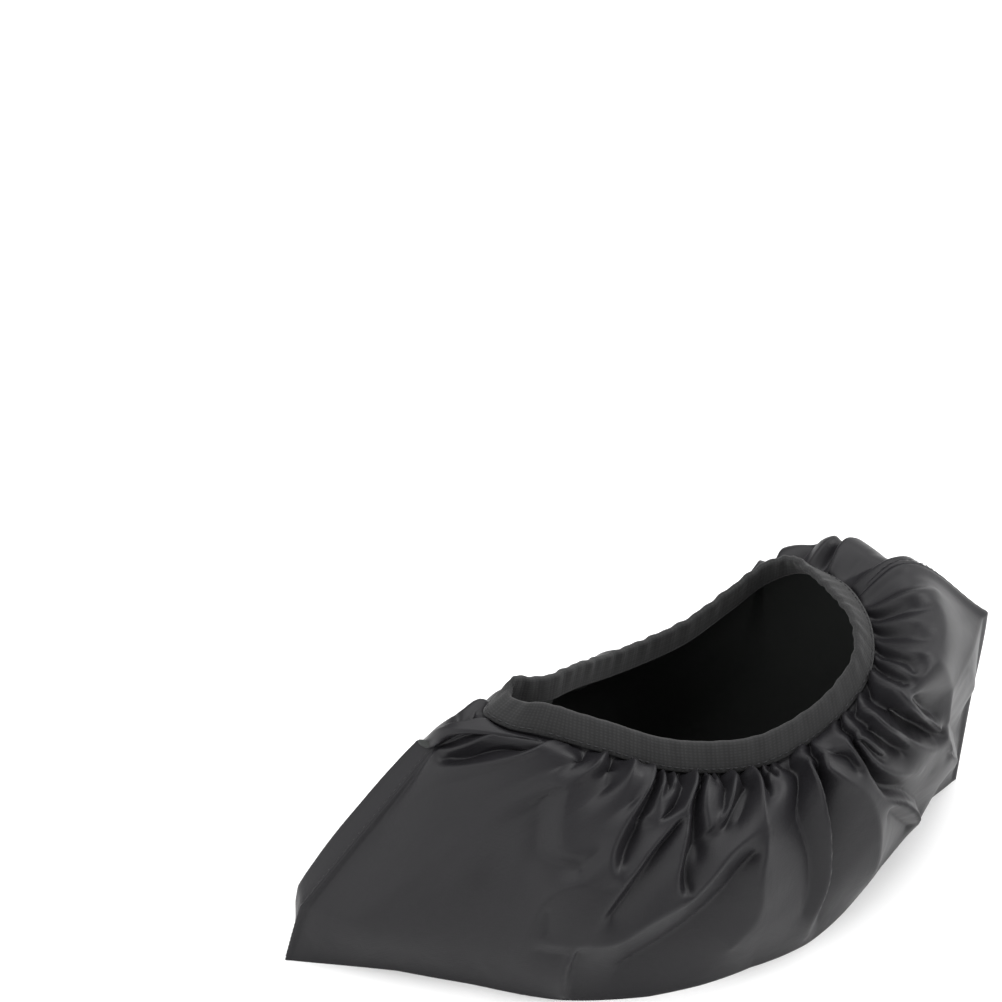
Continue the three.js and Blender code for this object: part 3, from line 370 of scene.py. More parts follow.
    heelPleat=[(0.861, 0.985, 1.0), (0.850, 0.955, 2.0), (0.831, 0.93, 2.2), (0.811, 0.90, 2.4),
        (0.797, 0.86, 2.6), (0.787, 0.81, 2.8), (0.782, 0.75, 3.0), (0.782, 0.68, 3.0),
        (0.786, 0.60, 3.0), (0.795, 0.54, 3.0), (0.810, 0.485, 2.8), (0.830, 0.44, 2.4),
        (0.850, 0.39, 2.0), (0.880, 0.32, 1.4)],
    heelPleatCleft=[(0.794, 0.80, -0.2), (0.791, 0.70, -0.6), (0.795, 0.62, -0.6), (0.803, 0.56, -0.2)],
    heelCleft=[(0.875, 0.985, -1.2), (0.866, 0.955, -2.6), (0.846, 0.92, -3.2), (0.826, 0.88, -3.6),
        (0.812, 0.83, -3.8), (0.8055, 0.77, -4.0), (0.804, 0.70, -4.0), (0.8075, 0.63, -3.6),
        (0.8155, 0.57, -3.0), (0.828, 0.51, -2.0), (0.840, 0.47, -0.8)],
    heelEdge=[(0.896, 0.985, 1.0), (0.889, 0.955, 2.4), (0.873, 0.92, 3.0), (0.854, 0.88, 3.2),
        (0.838, 0.83, 3.4), (0.826, 0.77, 3.6), (0.819, 0.70, 3.8), (0.8175, 0.63, 3.8),
        (0.822, 0.56, 3.6), (0.832, 0.50, 3.4), (0.843, 0.455, 3.4), (0.856, 0.39, 3.4),
        (0.875, 0.32, 3.2), (0.900, 0.25, 3.0), (0.930, 0.18, 2.4), (0.960, 0.12, 1.6),
        (0.985, 0.07, 0.8)],
    facetShade=[(0.840, 0.80, -0.8), (0.830, 0.72, -1.4), (0.828, 0.64, -1.2), (0.835, 0.56, -0.2)],
    facetBack=[(0.893, 0.795, 1.8), (0.886, 0.75, 2.2), (0.876, 0.68, 2.4), (0.864, 0.58, 2.4),
        (0.850, 0.50, 2.8)],
    facetTop=[(0.850, 0.83, 0.8), (0.872, 0.815, 1.0), (0.895, 0.795, 1.6)],
    firstHeelRuffle=[(0.906, 0.985, -1.0), (0.895, 0.94, -2.0), (0.876, 0.90, -1.8), (0.862, 0.86, -0.8)],
    firstHeelRidge=[(0.915, 0.98, 0.8), (0.901, 0.93, 1.4), (0.886, 0.89, 1.4), (0.873, 0.85, 0.8)],
    secondHeelRuffle=[(0.924, 0.985, -1.0), (0.911, 0.93, -1.8), (0.894, 0.88, -1.6), (0.879, 0.848, -0.8)],
    secondHeelRidge=[(0.934, 0.98, 0.8), (0.921, 0.93, 1.2), (0.905, 0.88, 1.2), (0.9015, 0.82, 1.2),
        (0.905, 0.787, 1.2)],
    pillowEdge=[(0.905, 0.787, 1.2), (0.922, 0.78, 1.5), (0.942, 0.783, 1.5), (0.957, 0.80, 1.2)],
    pillowFloor=[(0.946, 0.985, -0.8), (0.936, 0.93, -1.6), (0.925, 0.88, -1.4), (0.918, 0.83, -0.8)],
    pillowRidge=[(0.955, 0.98, 0.8), (0.947, 0.93, 1.2), (0.937, 0.86, 0.6)],
    pillowCleft=[(0.968, 0.985, -0.8), (0.959, 0.93, -1.8), (0.953, 0.87, -1.6), (0.951, 0.82, -1.0)],
    cornerRidge=[(0.977, 0.98, 0.8), (0.966, 0.91, 1.6), (0.966, 0.83, 1.6), (0.971, 0.785, 1.2)],
    cornerCleft=[(0.986, 0.98, -0.6), (0.979, 0.92, -1.4), (0.976, 0.86, -1.4), (0.979, 0.81, -0.8)],
    lowFacetFloor=[(0.866, 0.455, -0.6), (0.890, 0.40, -1.8), (0.920, 0.33, -2.2), (0.950, 0.25, -2.0),
        (0.985, 0.17, -0.8)],
    lowFacetEdge=[(0.862, 0.52, 1.0), (0.890, 0.55, 1.4), (0.915, 0.555, 1.8), (0.930, 0.50, 1.8),
        (0.950, 0.42, 1.6), (0.975, 0.35, 1.0)],
    lowSwell=[(0.83, 0.36, 0.4), (0.86, 0.27, 1.2), (0.90, 0.175, 1.4), (0.94, 0.095, 1.0)],
    lowStripe=[(0.736, 0.40, -0.4), (0.755, 0.335, -1.4), (0.775, 0.265, -1.8), (0.80, 0.19, -1.6),
        (0.83, 0.11, -1.0)],
    softSwell=[(0.305, 0.08, 0.3), (0.307, 0.20, 0.8), (0.311, 0.32, 1.3), (0.317, 0.43, 1.6),
        (0.328, 0.485, 1.8), (0.345, 0.505, 1.8), (0.367, 0.50, 1.5), (0.388, 0.50, 1.4)],
    softFloor=[(0.322, 0.40, 0.2), (0.330, 0.33, 0.2)],
    lowCrease=[(0.325, 0.30, 1.0), (0.345, 0.29, 1.4), (0.372, 0.297, 1.8)],
    lowShade=[(0.325, 0.25, 0.0), (0.345, 0.235, -0.2), (0.356, 0.24, 0.2)],
    frontGroove=[(0.0042, 0.02, -1.4), (0.0042, 0.93, -1.4)],
    heelGroove=[(0.9955, 0.02, -1.3), (0.9955, 0.93, -1.3)],
    floorRidge=[(0.361, 0.275, 1.4), (0.3585, 0.15, 1.4), (0.363, 0.03, 0.8)],
    floorCleft=[(0.3665, 0.25, -0.8), (0.367, 0.15, -1.2), (0.371, 0.04, -0.6)],
    seamPucker=[(0.003, 0.43, -0.6), (0.02, 0.43, -0.9), (0.037, 0.44, -0.3)],
)

# the far side's gathers, evenly alternating, every few of them long
farTable = dict(count=33, first=0.09, last=0.975, ridge=1.2, groove=-2.8, shortEnd=0.78, longEnd=0.34,
                longEvery=7, longRise=1.9, lean=0.018)
# beside the toe seam the far side stands out, and beside the heel seam it lies lower
farForms = dict(toeSwell=[(0.034, 0.12, 2.2), (0.036, 0.28, 4.4), (0.04, 0.5, 4.4), (0.05, 0.74, 2.2)],
                heelDip=[(0.95, 0.93, -2.4), (0.965, 0.86, -4.2), (0.972, 0.76, -3.8), (0.98, 0.6, -1.6)])


def farGathers():
    t = farTable
    lines = {}
    for k in range(t["count"]):
        at = t["first"] + (t["last"] - t["first"]) * k / (t["count"] - 1)
        side = 1 if k % 2 == 0 else -1
        isLong = k % t["longEvery"] in (2, 3)
        end = t["longEnd"] + 0.1 * math.sin(k * 2.1) if isLong else t["shortEnd"] + 0.05 * math.sin(k * 1.7)
        rise = t["longRise"] * side if isLong else (t["ridge"] if side > 0 else t["groove"])
        rise *= 0.85 + 0.2 * math.sin(k * 2.9)
        bend = t["lean"] * math.sin(k * 1.3)
        lines["gather%d" % k] = [
            (at, 0.985, rise * 0.35), (at - bend * 0.4, 0.93, rise), (at - bend, 0.86, rise),
            (at - bend * 0.5, (0.86 + end) / 2, rise * 0.8), (at + bend, end, rise * 0.2)]
    lines.update(farForms)
    return lines


def creaseLine(points, steps=40):
    # a smooth line through a crease's points: share of length, share of rise, height
    p = np.array(points, float)
    p = np.concatenate([[2 * p[0] - p[1]], p, [2 * p[-1] - p[-2]]])
    along = np.linspace(0, len(points) - 1, steps * (len(points) - 1) + 1)
    i = np.minimum(along.astype(int), len(points) - 2)
    return cubic(p[i], p[i + 1], p[i + 2], p[i + 3], (along - i)[:, None])


def finer(field, nu, nv):
    # the same heights on a grid with more cells
    a = np.linspace(0, field.shape[0] - 1, nu + 1)
    b = np.linspace(0, field.shape[1] - 1, nv + 1)
    i, j = np.minimum(a.astype(int), field.shape[0] - 2), np.minimum(b.astype(int), field.shape[1] - 2)
    fa, fb = (a - i)[:, None], (b - j)[None, :]
    low = field[i][:, j] * (1 - fb) + field[i][:, j + 1] * fb
    high = field[i + 1][:, j] * (1 - fb) + field[i + 1][:, j + 1] * fb
    return low * (1 - fa) + high * fa


def foldHeights(folds, columns, rows, slack, roundness):
    # Cloth stretched between creases: heights are held along every crease and relax between them
    # like a taut sheet, so flat facets form there. Solved from coarse to fine. slack is the
    # distance in mm at which a lone crease dies away.
    field = None
    for finest in (0.25, 0.5, 1, 2):
        nu, nv = int(columns * finest), int(rows * finest)
        held = np.zeros((nu + 1, nv + 1))
        weight = np.zeros((nu + 1, nv + 1))
        for line in folds.values():
            p = creaseLine(line)
            i = np.clip(np.rint(p[:, 0] * nu).astype(int), 0, nu)
            j = np.clip(np.rint(p[:, 1] * nv).astype(int), 0, nv)
            np.add.at(held, (i, j), p[:, 2])
            np.add.at(weight, (i, j), 1.0)
        isHeld = weight > 0
        held = np.where(isHeld, held / np.maximum(weight, 1), 0)
        for edge in (np.s_[0, :], np.s_[-1, :], np.s_[:, 0], np.s_[:, -1]):
            isHeld[edge] = True
            held[edge] = 0
        field = held.copy() if field is None else finer(field, nu, nv)
        field = np.where(isHeld, held, field)
        acrossPull = (nu / flankLength) ** 2
        upPull = (nv / flankRise) ** 2
        total = 2 * acrossPull + 2 * upPull + 1 / slack ** 2
        for _ in range(120):
            inner = (acrossPull * (field[2:, 1:-1] + field[:-2, 1:-1])
                     + upPull * (field[1:-1, 2:] + field[1:-1, :-2])) / total
            field[1:-1, 1:-1] = np.where(isHeld[1:-1, 1:-1], held[1:-1, 1:-1], inner)
    return softBlur(field, roundness * nu / flankLength, roundness * nv / flankRise)[::2, ::2]


# cloth panels, in mm; boldness multiplies the creases, tuckRise is how far the edge goes up the binding
clothLook = dict(columns=392, rows=120, slack=32.0, roundness=0.55, boldness=1.55, wallThick=0.5,
                 tuckRise=7.0, rippleHeight=0.15, seamFade=0.012)


def sidePanelPoints(side, folds):
    c = clothLook
    along = np.linspace(0, 1, c["columns"] + 1)
    up = np.linspace(0, 1, c["rows"] + 1)
    acrossGrid, upGrid = np.meshgrid(along, up, indexing="ij")
    plain = plainSide(side, acrossGrid, upGrid)
    heights = foldHeights(folds, c["columns"], c["rows"], c["slack"], c["roundness"]) * c["boldness"]
    fade = c["seamFade"]
    atSeams = smoothStep(acrossGrid, 0, fade) * (1 - smoothStep(acrossGrid, 1 - fade, 1))
    ripple = (np.sin(acrossGrid * 61 + 2.1 * np.sin(upGrid * 9))
              * np.sin(upGrid * 17 + 3 * np.sin(acrossGrid * 23)))
    heights = (heights + c["rippleHeight"] * ripple * smoothStep(upGrid, 0, 0.15)) * atSeams
    return plain + gridNormals(plain, side["sign"]) * heights[..., None], along


def putInScene(name, mesh):
    # smooth shading, and into the scene under the mesh's name
    mesh.polygons.foreach_set("use_smooth", np.ones(len(mesh.polygons), bool))
    piece = bpy.data.objects.new(name, mesh)
    bpy.context.collection.objects.link(piece)
    return piece


def gridMesh(name, points, side, uvScale):
    # a sheet from a grid of points in millimetres, with the pattern piece laid out as its uv map
    nu, nv = points.shape[0], points.shape[1]
    verts = (points.reshape(-1, 3) + originShift) * mm
    i, j = np.meshgrid(np.arange(nu - 1), np.arange(nv - 1), indexing="ij")
    a = (i * nv + j).ravel()
    quads = np.stack([a, a + nv, a + nv + 1, a + 1], -1)
    if side["sign"] > 0:
        quads = quads[:, ::-1]
    mesh = bpy.data.meshes.new(name)
    mesh.vertices.add(len(verts))
    mesh.vertices.foreach_set("co", verts.ravel())
    mesh.loops.add(quads.size)
    mesh.loops.foreach_set("vertex_index", quads.ravel())
    mesh.polygons.add(len(quads))
    mesh.polygons.foreach_set("loop_start", np.arange(0, quads.size, 4))
    mesh.update()
    alongCloth, upCloth = np.linspace(0, uvScale[0], nu), np.linspace(0, uvScale[1], nv)
    uv = np.stack(np.meshgrid(alongCloth, upCloth, indexing="ij"), -1)
    layer = mesh.uv_layers.new(name="pattern")
    layer.data.foreach_set("uv", uv.reshape(-1, 2)[quads.ravel()].ravel())
    mesh.validate()
    return putInScene(name, mesh)


def thicken(piece, thickness):
    solid = piece.modifiers.new("cloth thickness", "SOLIDIFY")
    solid.thickness = thickness * mm
    solid.offset = 0
    return solid


def sidePanel(name, side, folds):
    points, along = sidePanelPoints(side, folds)
    row = blendRows(stations, along)
    base, _, upWay = bandFrame(rimShareOf(side, row[side["share"]]))
    tucks = [base + upWay * rise for rise in (0.6, 2.5, clothLook["tuckRise"])]
    points = np.concatenate([points, np.stack(tucks, 1)], 1)
    piece = gridMesh(name, points, side, (flankLength * mm, flankRise * mm))
    thicken(piece, clothLook["wallThick"]).material_offset = 1
    return piece


print("shaping the cloth panels")
nearCloth = sidePanel("near_cloth", nearSide, nearFolds)
farCloth = sidePanel("far_cloth", farSide, farGathers())


# knitted tape folded over the cloth's edge: an inverted U, thinner than it looks, rounded on top
bandLook = dict(stations=900, height=12.5, outerHalf=1.55, innerHalf=0.9, crown=2.2, ribs=300, ribDepth=0.07,
                cords=4, cordDepth=0.16, waviness=0.22)


def bandSection():
    # out and up of the tape's cut end, from the outside lower edge over the top and back inside
    outer, inner, height = bandLook["outerHalf"], bandLook["innerHalf"], bandLook["height"]
    wall = height - outer
    hollow = height - bandLook["crown"]
    points = [(outer, wall * k / 10) for k in range(11)]
    for k in range(1, 9):
        turn = math.pi * k / 9
        points.append((outer * math.cos(turn), wall + outer * math.sin(turn)))
    points += [(-outer, wall * (10 - k) / 10) for k in range(11)]
    points += [(-inner, 0.0), (-inner, hollow), (inner, hollow), (inner, 0.0)]
    return np.array(points)


def rimBinding():
    b = bandLook
    count = b["stations"]
    share = np.arange(count) / count
    base, out, up = bandFrame(share)
    section = bandSection()
    sides = len(section)
    outs, ups = section[:, 0][None], section[:, 1][None]
    outer = np.abs(outs) > b["innerHalf"] + 0.01
    rib = np.cos(2 * math.pi * b["ribs"] * share)[:, None]
    cordWave = np.cos(2 * math.pi * b["cords"] * ups / b["height"])
    swell = b["ribDepth"] * rib * 0.5 + b["cordDepth"] * cordWave * 0.5
    around = 2 * math.pi * share
    wander = b["waviness"] * (np.sin(37 * around + 1) + np.sin(61 * around))[:, None]
    push = np.where(outer, np.sign(outs) * swell, 0) + wander * (ups / b["height"])
    points = (base[:, None] + out[:, None] * (outs + push)[..., None]
              + up[:, None] * (ups + np.zeros_like(push))[..., None])
    verts = (points.reshape(-1, 3) + originShift) * mm
    i, j = np.meshgrid(np.arange(count), np.arange(sides), indexing="ij")
    nextI, nextJ = (i + 1) % count, (j + 1) % sides
    quads = np.stack([i * sides + j, i * sides + nextJ, nextI * sides + nextJ, nextI * sides + j], -1)
    mesh = bpy.data.meshes.new("binding")
    mesh.from_pydata(verts.tolist(), [], quads.reshape(-1, 4).tolist())
    mesh.update()
    # uv: round the rim and over the tape, in metres
    girth = np.concatenate([[0], np.cumsum(np.linalg.norm(np.diff(section, axis=0), axis=1))])
    layer = mesh.uv_layers.new(name="pattern")
    loopVerts = np.empty(len(mesh.loops), int)
    mesh.loops.foreach_get("vertex_index", loopVerts)
    u = (loopVerts // sides) / count
    v = girth[loopVerts % sides] * mm
    closesLoop = np.repeat(u.reshape(-1, 4).max(1) > 0.9, 4)
    u = np.where(closesLoop & (u < 0.5), u + 1, u) * rimLength * mm
    layer.data.foreach_set("uv", np.stack([u, v], -1).ravel())
    return putInScene("binding", mesh)


print("shaping the binding")
binding = rimBinding()


# sole, in mm
soleLook = dict(columns=240, rows=48, thick=0.7, inset=1.0, sag=0.35)


def soleSheet():
    s = soleLook
    along = np.linspace(0, 1, s["columns"] + 1)
    nearX, nearY = footPlace(nearSide, along, s["inset"])
    farX, farY = footPlace(farSide, along, s["inset"])
    nearY, farY = -np.maximum(nearY, 0.02), np.maximum(farY, 0.02)
    across = np.linspace(0, 1, s["rows"] + 1)[None]
    x = nearX[:, None] * (1 - across) + farX[:, None] * across
    y = nearY[:, None] * (1 - across) + farY[:, None] * across
    wave = 0.5 + 0.5 * np.sin(x / 17 + 2 * np.sin(y / 13))
    lift = s["thick"] / 2 + s["sag"] * wave * (1 - (2 * across - 1) ** 4)
    piece = gridMesh("sole_sheet", np.stack([x, y, lift], -1), nearSide, (0.3, 0.142))
    thicken(piece, s["thick"])
    return piece


print("laying the sole")
soleCloth = soleSheet()


# the folded edge that stands up along a seam, on the far side of it; sizes in mm
seamLook = dict(steps=260, width=3.4, height=0.75, lowest=0.015, highest=0.93, pucker=0.07, pitch=3.2,
                stitchLength=2.1, threadThick=0.3, lift=0.12)
# across the folded edge: place as a share of its width, and height as a share of its height
seamSection = [dict(at=-0.12, rise=-0.3), dict(at=0.04, rise=0.62), dict(at=0.2, rise=0.95),
               dict(at=0.42, rise=1.0), dict(at=0.64, rise=0.88), dict(at=0.84, rise=0.55),
               dict(at=1.0, rise=-0.25)]


def seamStrip(name, atSeam):
    k = seamLook
    up = np.linspace(k["lowest"], k["highest"], k["steps"])
    inwards = 1 if atSeam == 0 else -1
    climb = (up - k["lowest"]) * flankRise * 1.6  # the seam slants, so it is longer than it is high
    puckers = k["pucker"] * np.cos(2 * np.pi * climb / k["pitch"])
    rows = []
    for knot in seamSection:
        side = nearSide if knot["at"] < 0 else farSide
        at = np.full(len(up), atSeam + inwards * abs(knot["at"]) * k["width"] / flankLength)
        ahead, behind = (plainSide(side, np.clip(at + step, 0, 1), up) for step in (0.003, -0.003))
        above, below = (plainSide(side, at, np.minimum(up + step, 1)) for step in (0.004, -0.004))
        normal = unit(np.cross(ahead - behind, above - below)) * -side["sign"]
        lift = k["height"] * knot["rise"] + puckers * max(knot["rise"], 0)
        rows.append(plainSide(side, at, up) + normal * lift[:, None])
    points = np.stack(rows, 1)
    return gridMesh(name, points, nearSide if atSeam == 0 else farSide, (0.12, 0.004)), points


def threadStitches(name, starts, ends, lift, thick):
    # one short rounded thread from each start to each end, as one mesh
    sides, rings = 6, 5
    verts, faces = [], []
    for a, b, n in zip(starts, ends, lift):
        way = b - a
        sideways = np.cross(way, n)
        sideways /= max(np.linalg.norm(sideways), 1e-9)
        first = len(verts)
        for r in range(rings):
            f = r / (rings - 1)
            middle = a + way * f + n * thick * (1.1 * math.sin(math.pi * f) - 0.35)
            wide = thick / 2 * (0.45 + 0.55 * math.sin(math.pi * f))
            for q in range(sides):
                angle = 2 * math.pi * q / sides
                verts.append(middle + (sideways * math.cos(angle) + n * math.sin(angle)) * wide)
        for r in range(rings - 1):
            for q in range(sides):
                i, j = first + r * sides + q, first + r * sides + (q + 1) % sides
                faces.append((i, j, j + sides, i + sides))
        faces.append(tuple(first + q for q in reversed(range(sides))))
        faces.append(tuple(first + (rings - 1) * sides + q for q in range(sides)))
    mesh = bpy.data.meshes.new(name)
    mesh.from_pydata(((np.array(verts) + originShift) * mm).tolist(), [], faces)
    mesh.update()
    return putInScene(name, mesh)


def stitchesAlong(name, line, normals, pitch, length, thick):
    # straight stitches along a line of points, every pitch mm
    run = np.concatenate([[0], np.cumsum(np.linalg.norm(np.diff(line, axis=0), axis=1))])
    begins = np.arange(pitch, run[-1] - pitch, pitch)

    def at(distance, values):
        return np.stack([np.interp(distance, run, values[:, k]) for k in range(3)], -1)

    return threadStitches(name, at(begins, line), at(begins + length, line), unit(at(begins, normals)), thick)


def stripStitches(name, grid):
    # along the middle of a folded edge, laid a little above it
    k = seamLook
    line = grid[:, 4]
    normals = unit(np.cross(grid[:, 5] - grid[:, 3], np.gradient(line, axis=0)))
    outward = line - np.array([0, 0, 40])
    normals *= np.sign((normals * outward).sum(-1))[:, None]
    line = line + normals * k["lift"]
    return stitchesAlong(name, line, normals, k["pitch"], k["stitchLength"], k["threadThick"])


# one row of stitches round the binding, up from its lower edge
bandSewing = dict(steps=1200, up=1.7, lift=0.06, pitch=3.0, stitchLength=2.0, threadThick=0.42)


def bandStitchRow():
    k = bandSewing
    base, out, up = bandFrame(np.linspace(0, 1, k["steps"], endpoint=False))
    line = base + out * (bandLook["outerHalf"] + k["lift"]) + up * k["up"]
    return stitchesAlong("binding_stitches", line, out, k["pitch"], k["stitchLength"], k["threadThick"])


print("sewing the seams")
frontSeam, frontGrid = seamStrip("front_seam_edge", 0.0)
heelSeam, heelGrid = seamStrip("heel_seam_edge", 1.0)
frontStitches = stripStitches("front_seam_stitches", frontGrid)
heelStitches = stripStitches("heel_seam_stitches", heelGrid)
bandStitches = bandStitchRow()


# materials
def newMaterial(name):
    made = bpy.data.materials.new(name)
    made.use_nodes = True
    tree = made.node_tree
    return made, tree, tree.nodes["Principled BSDF"]


def addNode(tree, kind, **values):
    # a node with its sockets set by name; a (node, socket) pair is linked instead
    made = tree.nodes.new(kind)
    for name, value in values.items():
        if name in ("operation", "data_type", "bands_direction"):
            setattr(made, name, value)
            continue
        socket = made.inputs[int(name[1:])] if name[0] == "i" and name[1:].isdigit() else made.inputs[name]
        if isinstance(value, tuple) and hasattr(value[0], "outputs"):
            tree.links.new(value[0].outputs[value[1]], socket)
        else:
            socket.default_value = value
    return made


def mathNode(tree, operation, a, b, c=0.0):
    return addNode(tree, "ShaderNodeMath", operation=operation, i0=a, i1=b, i2=c)


def patternPlace(tree):
    uv = tree.nodes.new("ShaderNodeUVMap")
    uv.uv_map = "pattern"
    return uv, "UV"


waveAtOne = 0.314  # how long one wave of the wave texture is at scale 1, in metres


def twoBumps(tree, shader, wideHeight, wideDepth, fineHeight, fineDepth):
    wide = addNode(tree, "ShaderNodeBump", Strength=1.0, Distance=wideDepth, Height=wideHeight)
    fine = addNode(tree, "ShaderNodeBump", Strength=1.0, Distance=fineDepth, Height=fineHeight,
                   Normal=(wide, "Normal"))
    tree.links.new(fine.outputs["Normal"], shader.inputs["Normal"])


def twoShades(tree, shader, look, share):
    tint = addNode(tree, "ShaderNodeMix", data_type="RGBA", i0=share, i6=look["shade"] + (1,),
                   i7=look["lighter"] + (1,))
    tree.links.new(tint.outputs[2], shader.inputs["Base Color"])


# outside: tightly woven coated cloth with a satin sheen; thread is the weave's pitch in metres
fabricLook = dict(shade=(0.0092, 0.0088, 0.0102), lighter=(0.0130, 0.0125, 0.0142), roughness=0.43, worn=0.12,
                  thread=0.0005, weaveDepth=0.000012, crinkleSize=0.016, crinkleDepth=0.0003,
                  blotchSize=0.03, gloss=0.5, density=1.31)
insideLook = dict(fabricLook, shade=(0.030, 0.032, 0.031), lighter=(0.040, 0.042, 0.041), roughness=0.6,
                  weaveDepth=0.000006, gloss=0.3)


def clothFinish(name, look):
    made, tree, shader = newMaterial(name)
    place = patternPlace(tree)
    threads = []
    for direction in "XY":
        wave = addNode(tree, "ShaderNodeTexWave", Vector=place, bands_direction=direction,
                       Scale=waveAtOne / look["thread"] / 2, Distortion=0.3, Detail=1.0)
        threads.append((wave, "Fac"))
    weave = mathNode(tree, "MULTIPLY", threads[0], threads[1])
    crinkle = addNode(tree, "ShaderNodeTexNoise", Vector=place, Scale=1 / look["crinkleSize"], Detail=5.0,
                      Roughness=0.55, Distortion=0.8)
    blotch = addNode(tree, "ShaderNodeTexNoise", Vector=place, Scale=1 / look["blotchSize"], Detail=3.0,
                     Roughness=0.6)
    twoShades(tree, shader, look, (blotch, "Fac"))
    smoothest = look["roughness"] - look["worn"] / 2
    rough = mathNode(tree, "MULTIPLY_ADD", (blotch, "Fac"), look["worn"], smoothest)
    tree.links.new(rough.outputs[0], shader.inputs["Roughness"])
    shader.inputs["Specular IOR Level"].default_value = look["gloss"]
    shader.inputs["IOR"].default_value = look["density"]
    twoBumps(tree, shader, (crinkle, "Fac"), look["crinkleDepth"], (weave, "Value"), look["weaveDepth"])
    return made


# the binding: matt knitted elastic with fine ribs across it
elasticLook = dict(shade=(0.0135, 0.0135, 0.0138), lighter=(0.0245, 0.0245, 0.0250), rib=0.0009,
                   course=0.0006, ribDepth=0.00004, fuzzSize=0.0016, fuzzDepth=0.00010,
                   patchSize=0.012, roughness=0.88, gloss=0.25, sheen=0.12)


def elasticFinish():
    k = elasticLook
    made, tree, shader = newMaterial("knitted elastic")
    place = patternPlace(tree)
    ribs = addNode(tree, "ShaderNodeTexWave", Vector=place, bands_direction="X",
                   Scale=waveAtOne / 2 / k["rib"], Distortion=1.0, Detail=2.0)
    courses = addNode(tree, "ShaderNodeTexWave", Vector=place, bands_direction="Y",
                      Scale=waveAtOne / 2 / k["course"], Distortion=1.2, Detail=2.0)
    fuzz = addNode(tree, "ShaderNodeTexNoise", Vector=place, Scale=1 / k["fuzzSize"], Detail=4.0,
                   Roughness=0.7)
    patches = addNode(tree, "ShaderNodeTexNoise", Vector=place, Scale=1 / k["patchSize"], Detail=3.0,
                      Roughness=0.6)
    knit = mathNode(tree, "MULTIPLY", (ribs, "Fac"), (courses, "Fac"))
    mixed = mathNode(tree, "MULTIPLY_ADD", (patches, "Fac"), 0.6, (knit, "Value"))
    twoShades(tree, shader, k, (mixed, "Value"))
    shader.inputs["Roughness"].default_value = k["roughness"]
    shader.inputs["Specular IOR Level"].default_value = k["gloss"]
    shader.inputs["Sheen Weight"].default_value = k["sheen"]
    shader.inputs["Sheen Roughness"].default_value = 0.5
    twoBumps(tree, shader, (fuzz, "Fac"), k["fuzzDepth"], (knit, "Value"), k["ribDepth"])
    return made


threadLook = dict(shade=(0.018, 0.018, 0.020), roughness=0.55, twist=0.0007, twistDepth=0.00006)


def threadFinish():
    k = threadLook
    made, tree, shader = newMaterial("sewing thread")
    where = tree.nodes.new("ShaderNodeTexCoord")
    strands = addNode(tree, "ShaderNodeTexWave", Vector=(where, "Object"), bands_direction="DIAGONAL",
                      Scale=waveAtOne / 2 / k["twist"], Distortion=0.4)
    shader.inputs["Base Color"].default_value = k["shade"] + (1,)
    shader.inputs["Roughness"].default_value = k["roughness"]
    bump = addNode(tree, "ShaderNodeBump", Strength=1.0, Distance=k["twistDepth"], Height=(strands, "Fac"))
    tree.links.new(bump.outputs["Normal"], shader.inputs["Normal"])
    return made


print("dyeing the cloth")
clothMaterial = clothFinish("coated cloth", fabricLook)
insideMaterial = clothFinish("coated inside", insideLook)
bandMaterial = elasticFinish()
threadMaterial = threadFinish()

for piece in (nearCloth, farCloth):
    piece.data.materials.append(clothMaterial)
    piece.data.materials.append(insideMaterial)
for piece, made in ((binding, bandMaterial), (soleCloth, clothMaterial), (frontSeam, clothMaterial),
                    (heelSeam, clothMaterial), (frontStitches, threadMaterial),
                    (heelStitches, threadMaterial), (bandStitches, threadMaterial)):
    piece.data.materials.append(made)


# room, light and camera
roomLook = dict(floorSize=6.0, floorShade=0.92, floorGlow=0.05, worldTop=2.7)
# brightness of the studio from the toe's end to the heel's: bright at both, dim between; at runs from
# 0 to 1 and glow is a share of worldTop
roomRamp = [dict(at=0.04, glow=0.80), dict(at=0.13, glow=0.50), dict(at=0.26, glow=0.20),
            dict(at=0.48, glow=0.08), dict(at=0.60, glow=0.18), dict(at=0.76, glow=0.66),
            dict(at=0.95, glow=0.56)]
# soft lights in metres and watts
lamps = [dict(zip(("name", "at", "aim", "power", "width", "depth"), row)) for row in (
    ("top light", (-0.1, 0.2, 1.7), (0, 0, 0), 28.0, 2.2, 1.6),
    ("heel light", (1.5, -0.2, 0.9), (0, 0, 0.05), 1.5, 1.2, 1.2),
    ("shoulder light", (1.05, -0.65, 1.15), (0, 0, 0.05), 9.0, 0.7, 0.7),
    ("tongue light", (-0.95, -1.0, 0.75), (-0.05, 0, 0.08), 2.2, 0.6, 0.4))]
cameraLook = dict(lens=100.6, at=(-0.3736, -0.7861, 0.7687), down=34.15, turn=-21.67)

print("setting up the room")
floorMesh = bpy.data.meshes.new("floor")
half = roomLook["floorSize"] / 2
corners = [(-half, -half, 0), (half, -half, 0), (half, half, 0), (-half, half, 0)]
floorMesh.from_pydata(corners, [], [(0, 1, 2, 3)])
floor = bpy.data.objects.new("floor", floorMesh)
bpy.context.collection.objects.link(floor)
floorMaterial, tree, shader = newMaterial("pale floor")
shader.inputs["Base Color"].default_value = (roomLook["floorShade"],) * 3 + (1,)
shader.inputs["Roughness"].default_value = 0.7
shader.inputs["Emission Color"].default_value = (1, 1, 1, 1)
shader.inputs["Emission Strength"].default_value = roomLook["floorGlow"]
floorMesh.materials.append(floorMaterial)

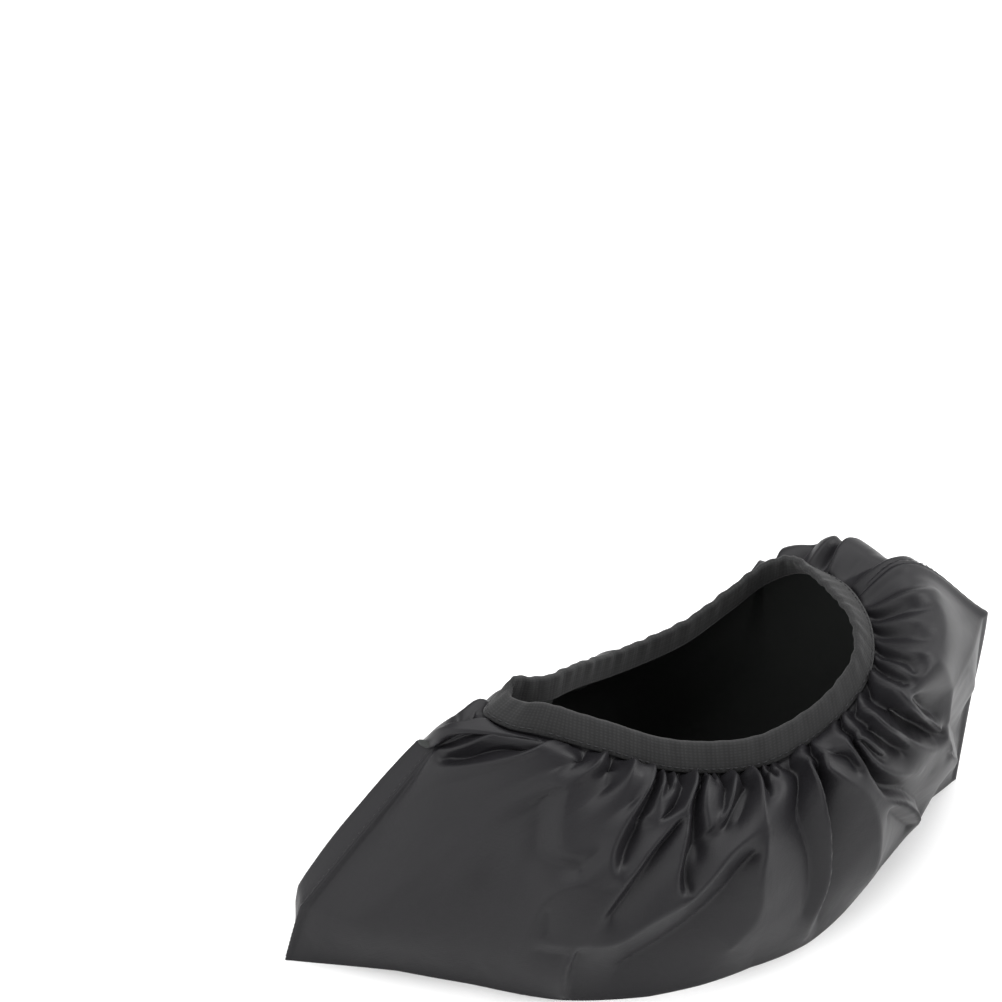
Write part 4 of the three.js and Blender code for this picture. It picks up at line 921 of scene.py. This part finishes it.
world = bpy.data.worlds.new("studio")
bpy.context.scene.world = world
world.use_nodes = True
tree = world.node_tree
direction = tree.nodes.new("ShaderNodeTexCoord")
parts = addNode(tree, "ShaderNodeSeparateXYZ", Vector=(direction, "Generated"))
across = mathNode(tree, "MULTIPLY_ADD", (parts, "X"), 0.5, 0.5)
ramp = tree.nodes.new("ShaderNodeValToRGB")
ramp.color_ramp.interpolation = "B_SPLINE"
stops = ramp.color_ramp.elements
while len(stops) < len(roomRamp):
    stops.new(0.5)
for stop, row in zip(stops, roomRamp):
    stop.position = row["at"]
    stop.color = (row["glow"],) * 3 + (1,)
tree.links.new(across.outputs[0], ramp.inputs["Fac"])
strength = mathNode(tree, "MULTIPLY", (ramp, "Color"), roomLook["worldTop"])
tree.links.new(strength.outputs[0], tree.nodes["Background"].inputs["Strength"])
tree.nodes["Background"].inputs["Color"].default_value = (1, 1, 1, 1)


def softLight(row):
    data = bpy.data.lights.new(row["name"], "AREA")
    data.shape = "RECTANGLE"
    data.energy = row["power"]
    data.size = row["width"]
    data.size_y = row["depth"]
    lamp = bpy.data.objects.new(row["name"], data)
    lamp.location = row["at"]
    lamp.rotation_euler = (Vector(row["aim"]) - Vector(row["at"])).to_track_quat("-Z", "Y").to_euler()
    bpy.context.collection.objects.link(lamp)


for row in lamps:
    softLight(row)

cameraData = bpy.data.cameras.new("camera")
camera = bpy.data.objects.new("camera", cameraData)
cameraData.lens = cameraLook["lens"]
cameraData.sensor_width = 36
cameraData.clip_end = 20
camera.location = cameraLook["at"]
camera.rotation_euler = (math.radians(90 - cameraLook["down"]), 0, math.radians(cameraLook["turn"]))
bpy.context.collection.objects.link(camera)
bpy.context.scene.camera = camera
bpy.context.scene.view_settings.view_transform = "Standard"


# what stands for what
for piece, node, slotName in ((nearCloth, "side_panel_near", "coated_cloth"),
                              (farCloth, "side_panel_far", "coated_cloth"),
                              (binding, "rim_binding", "knitted_elastic"),
                              (soleCloth, "sole_panel", "sole_cloth")):
    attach(piece, "root")
    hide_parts(node)
for piece, slotName in ((frontSeam, "coated_cloth"), (heelSeam, "coated_cloth"),
                        (frontStitches, "coated_cloth"), (heelStitches, "coated_cloth"),
                        (bandStitches, "knitted_elastic")):
    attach(piece, "root")
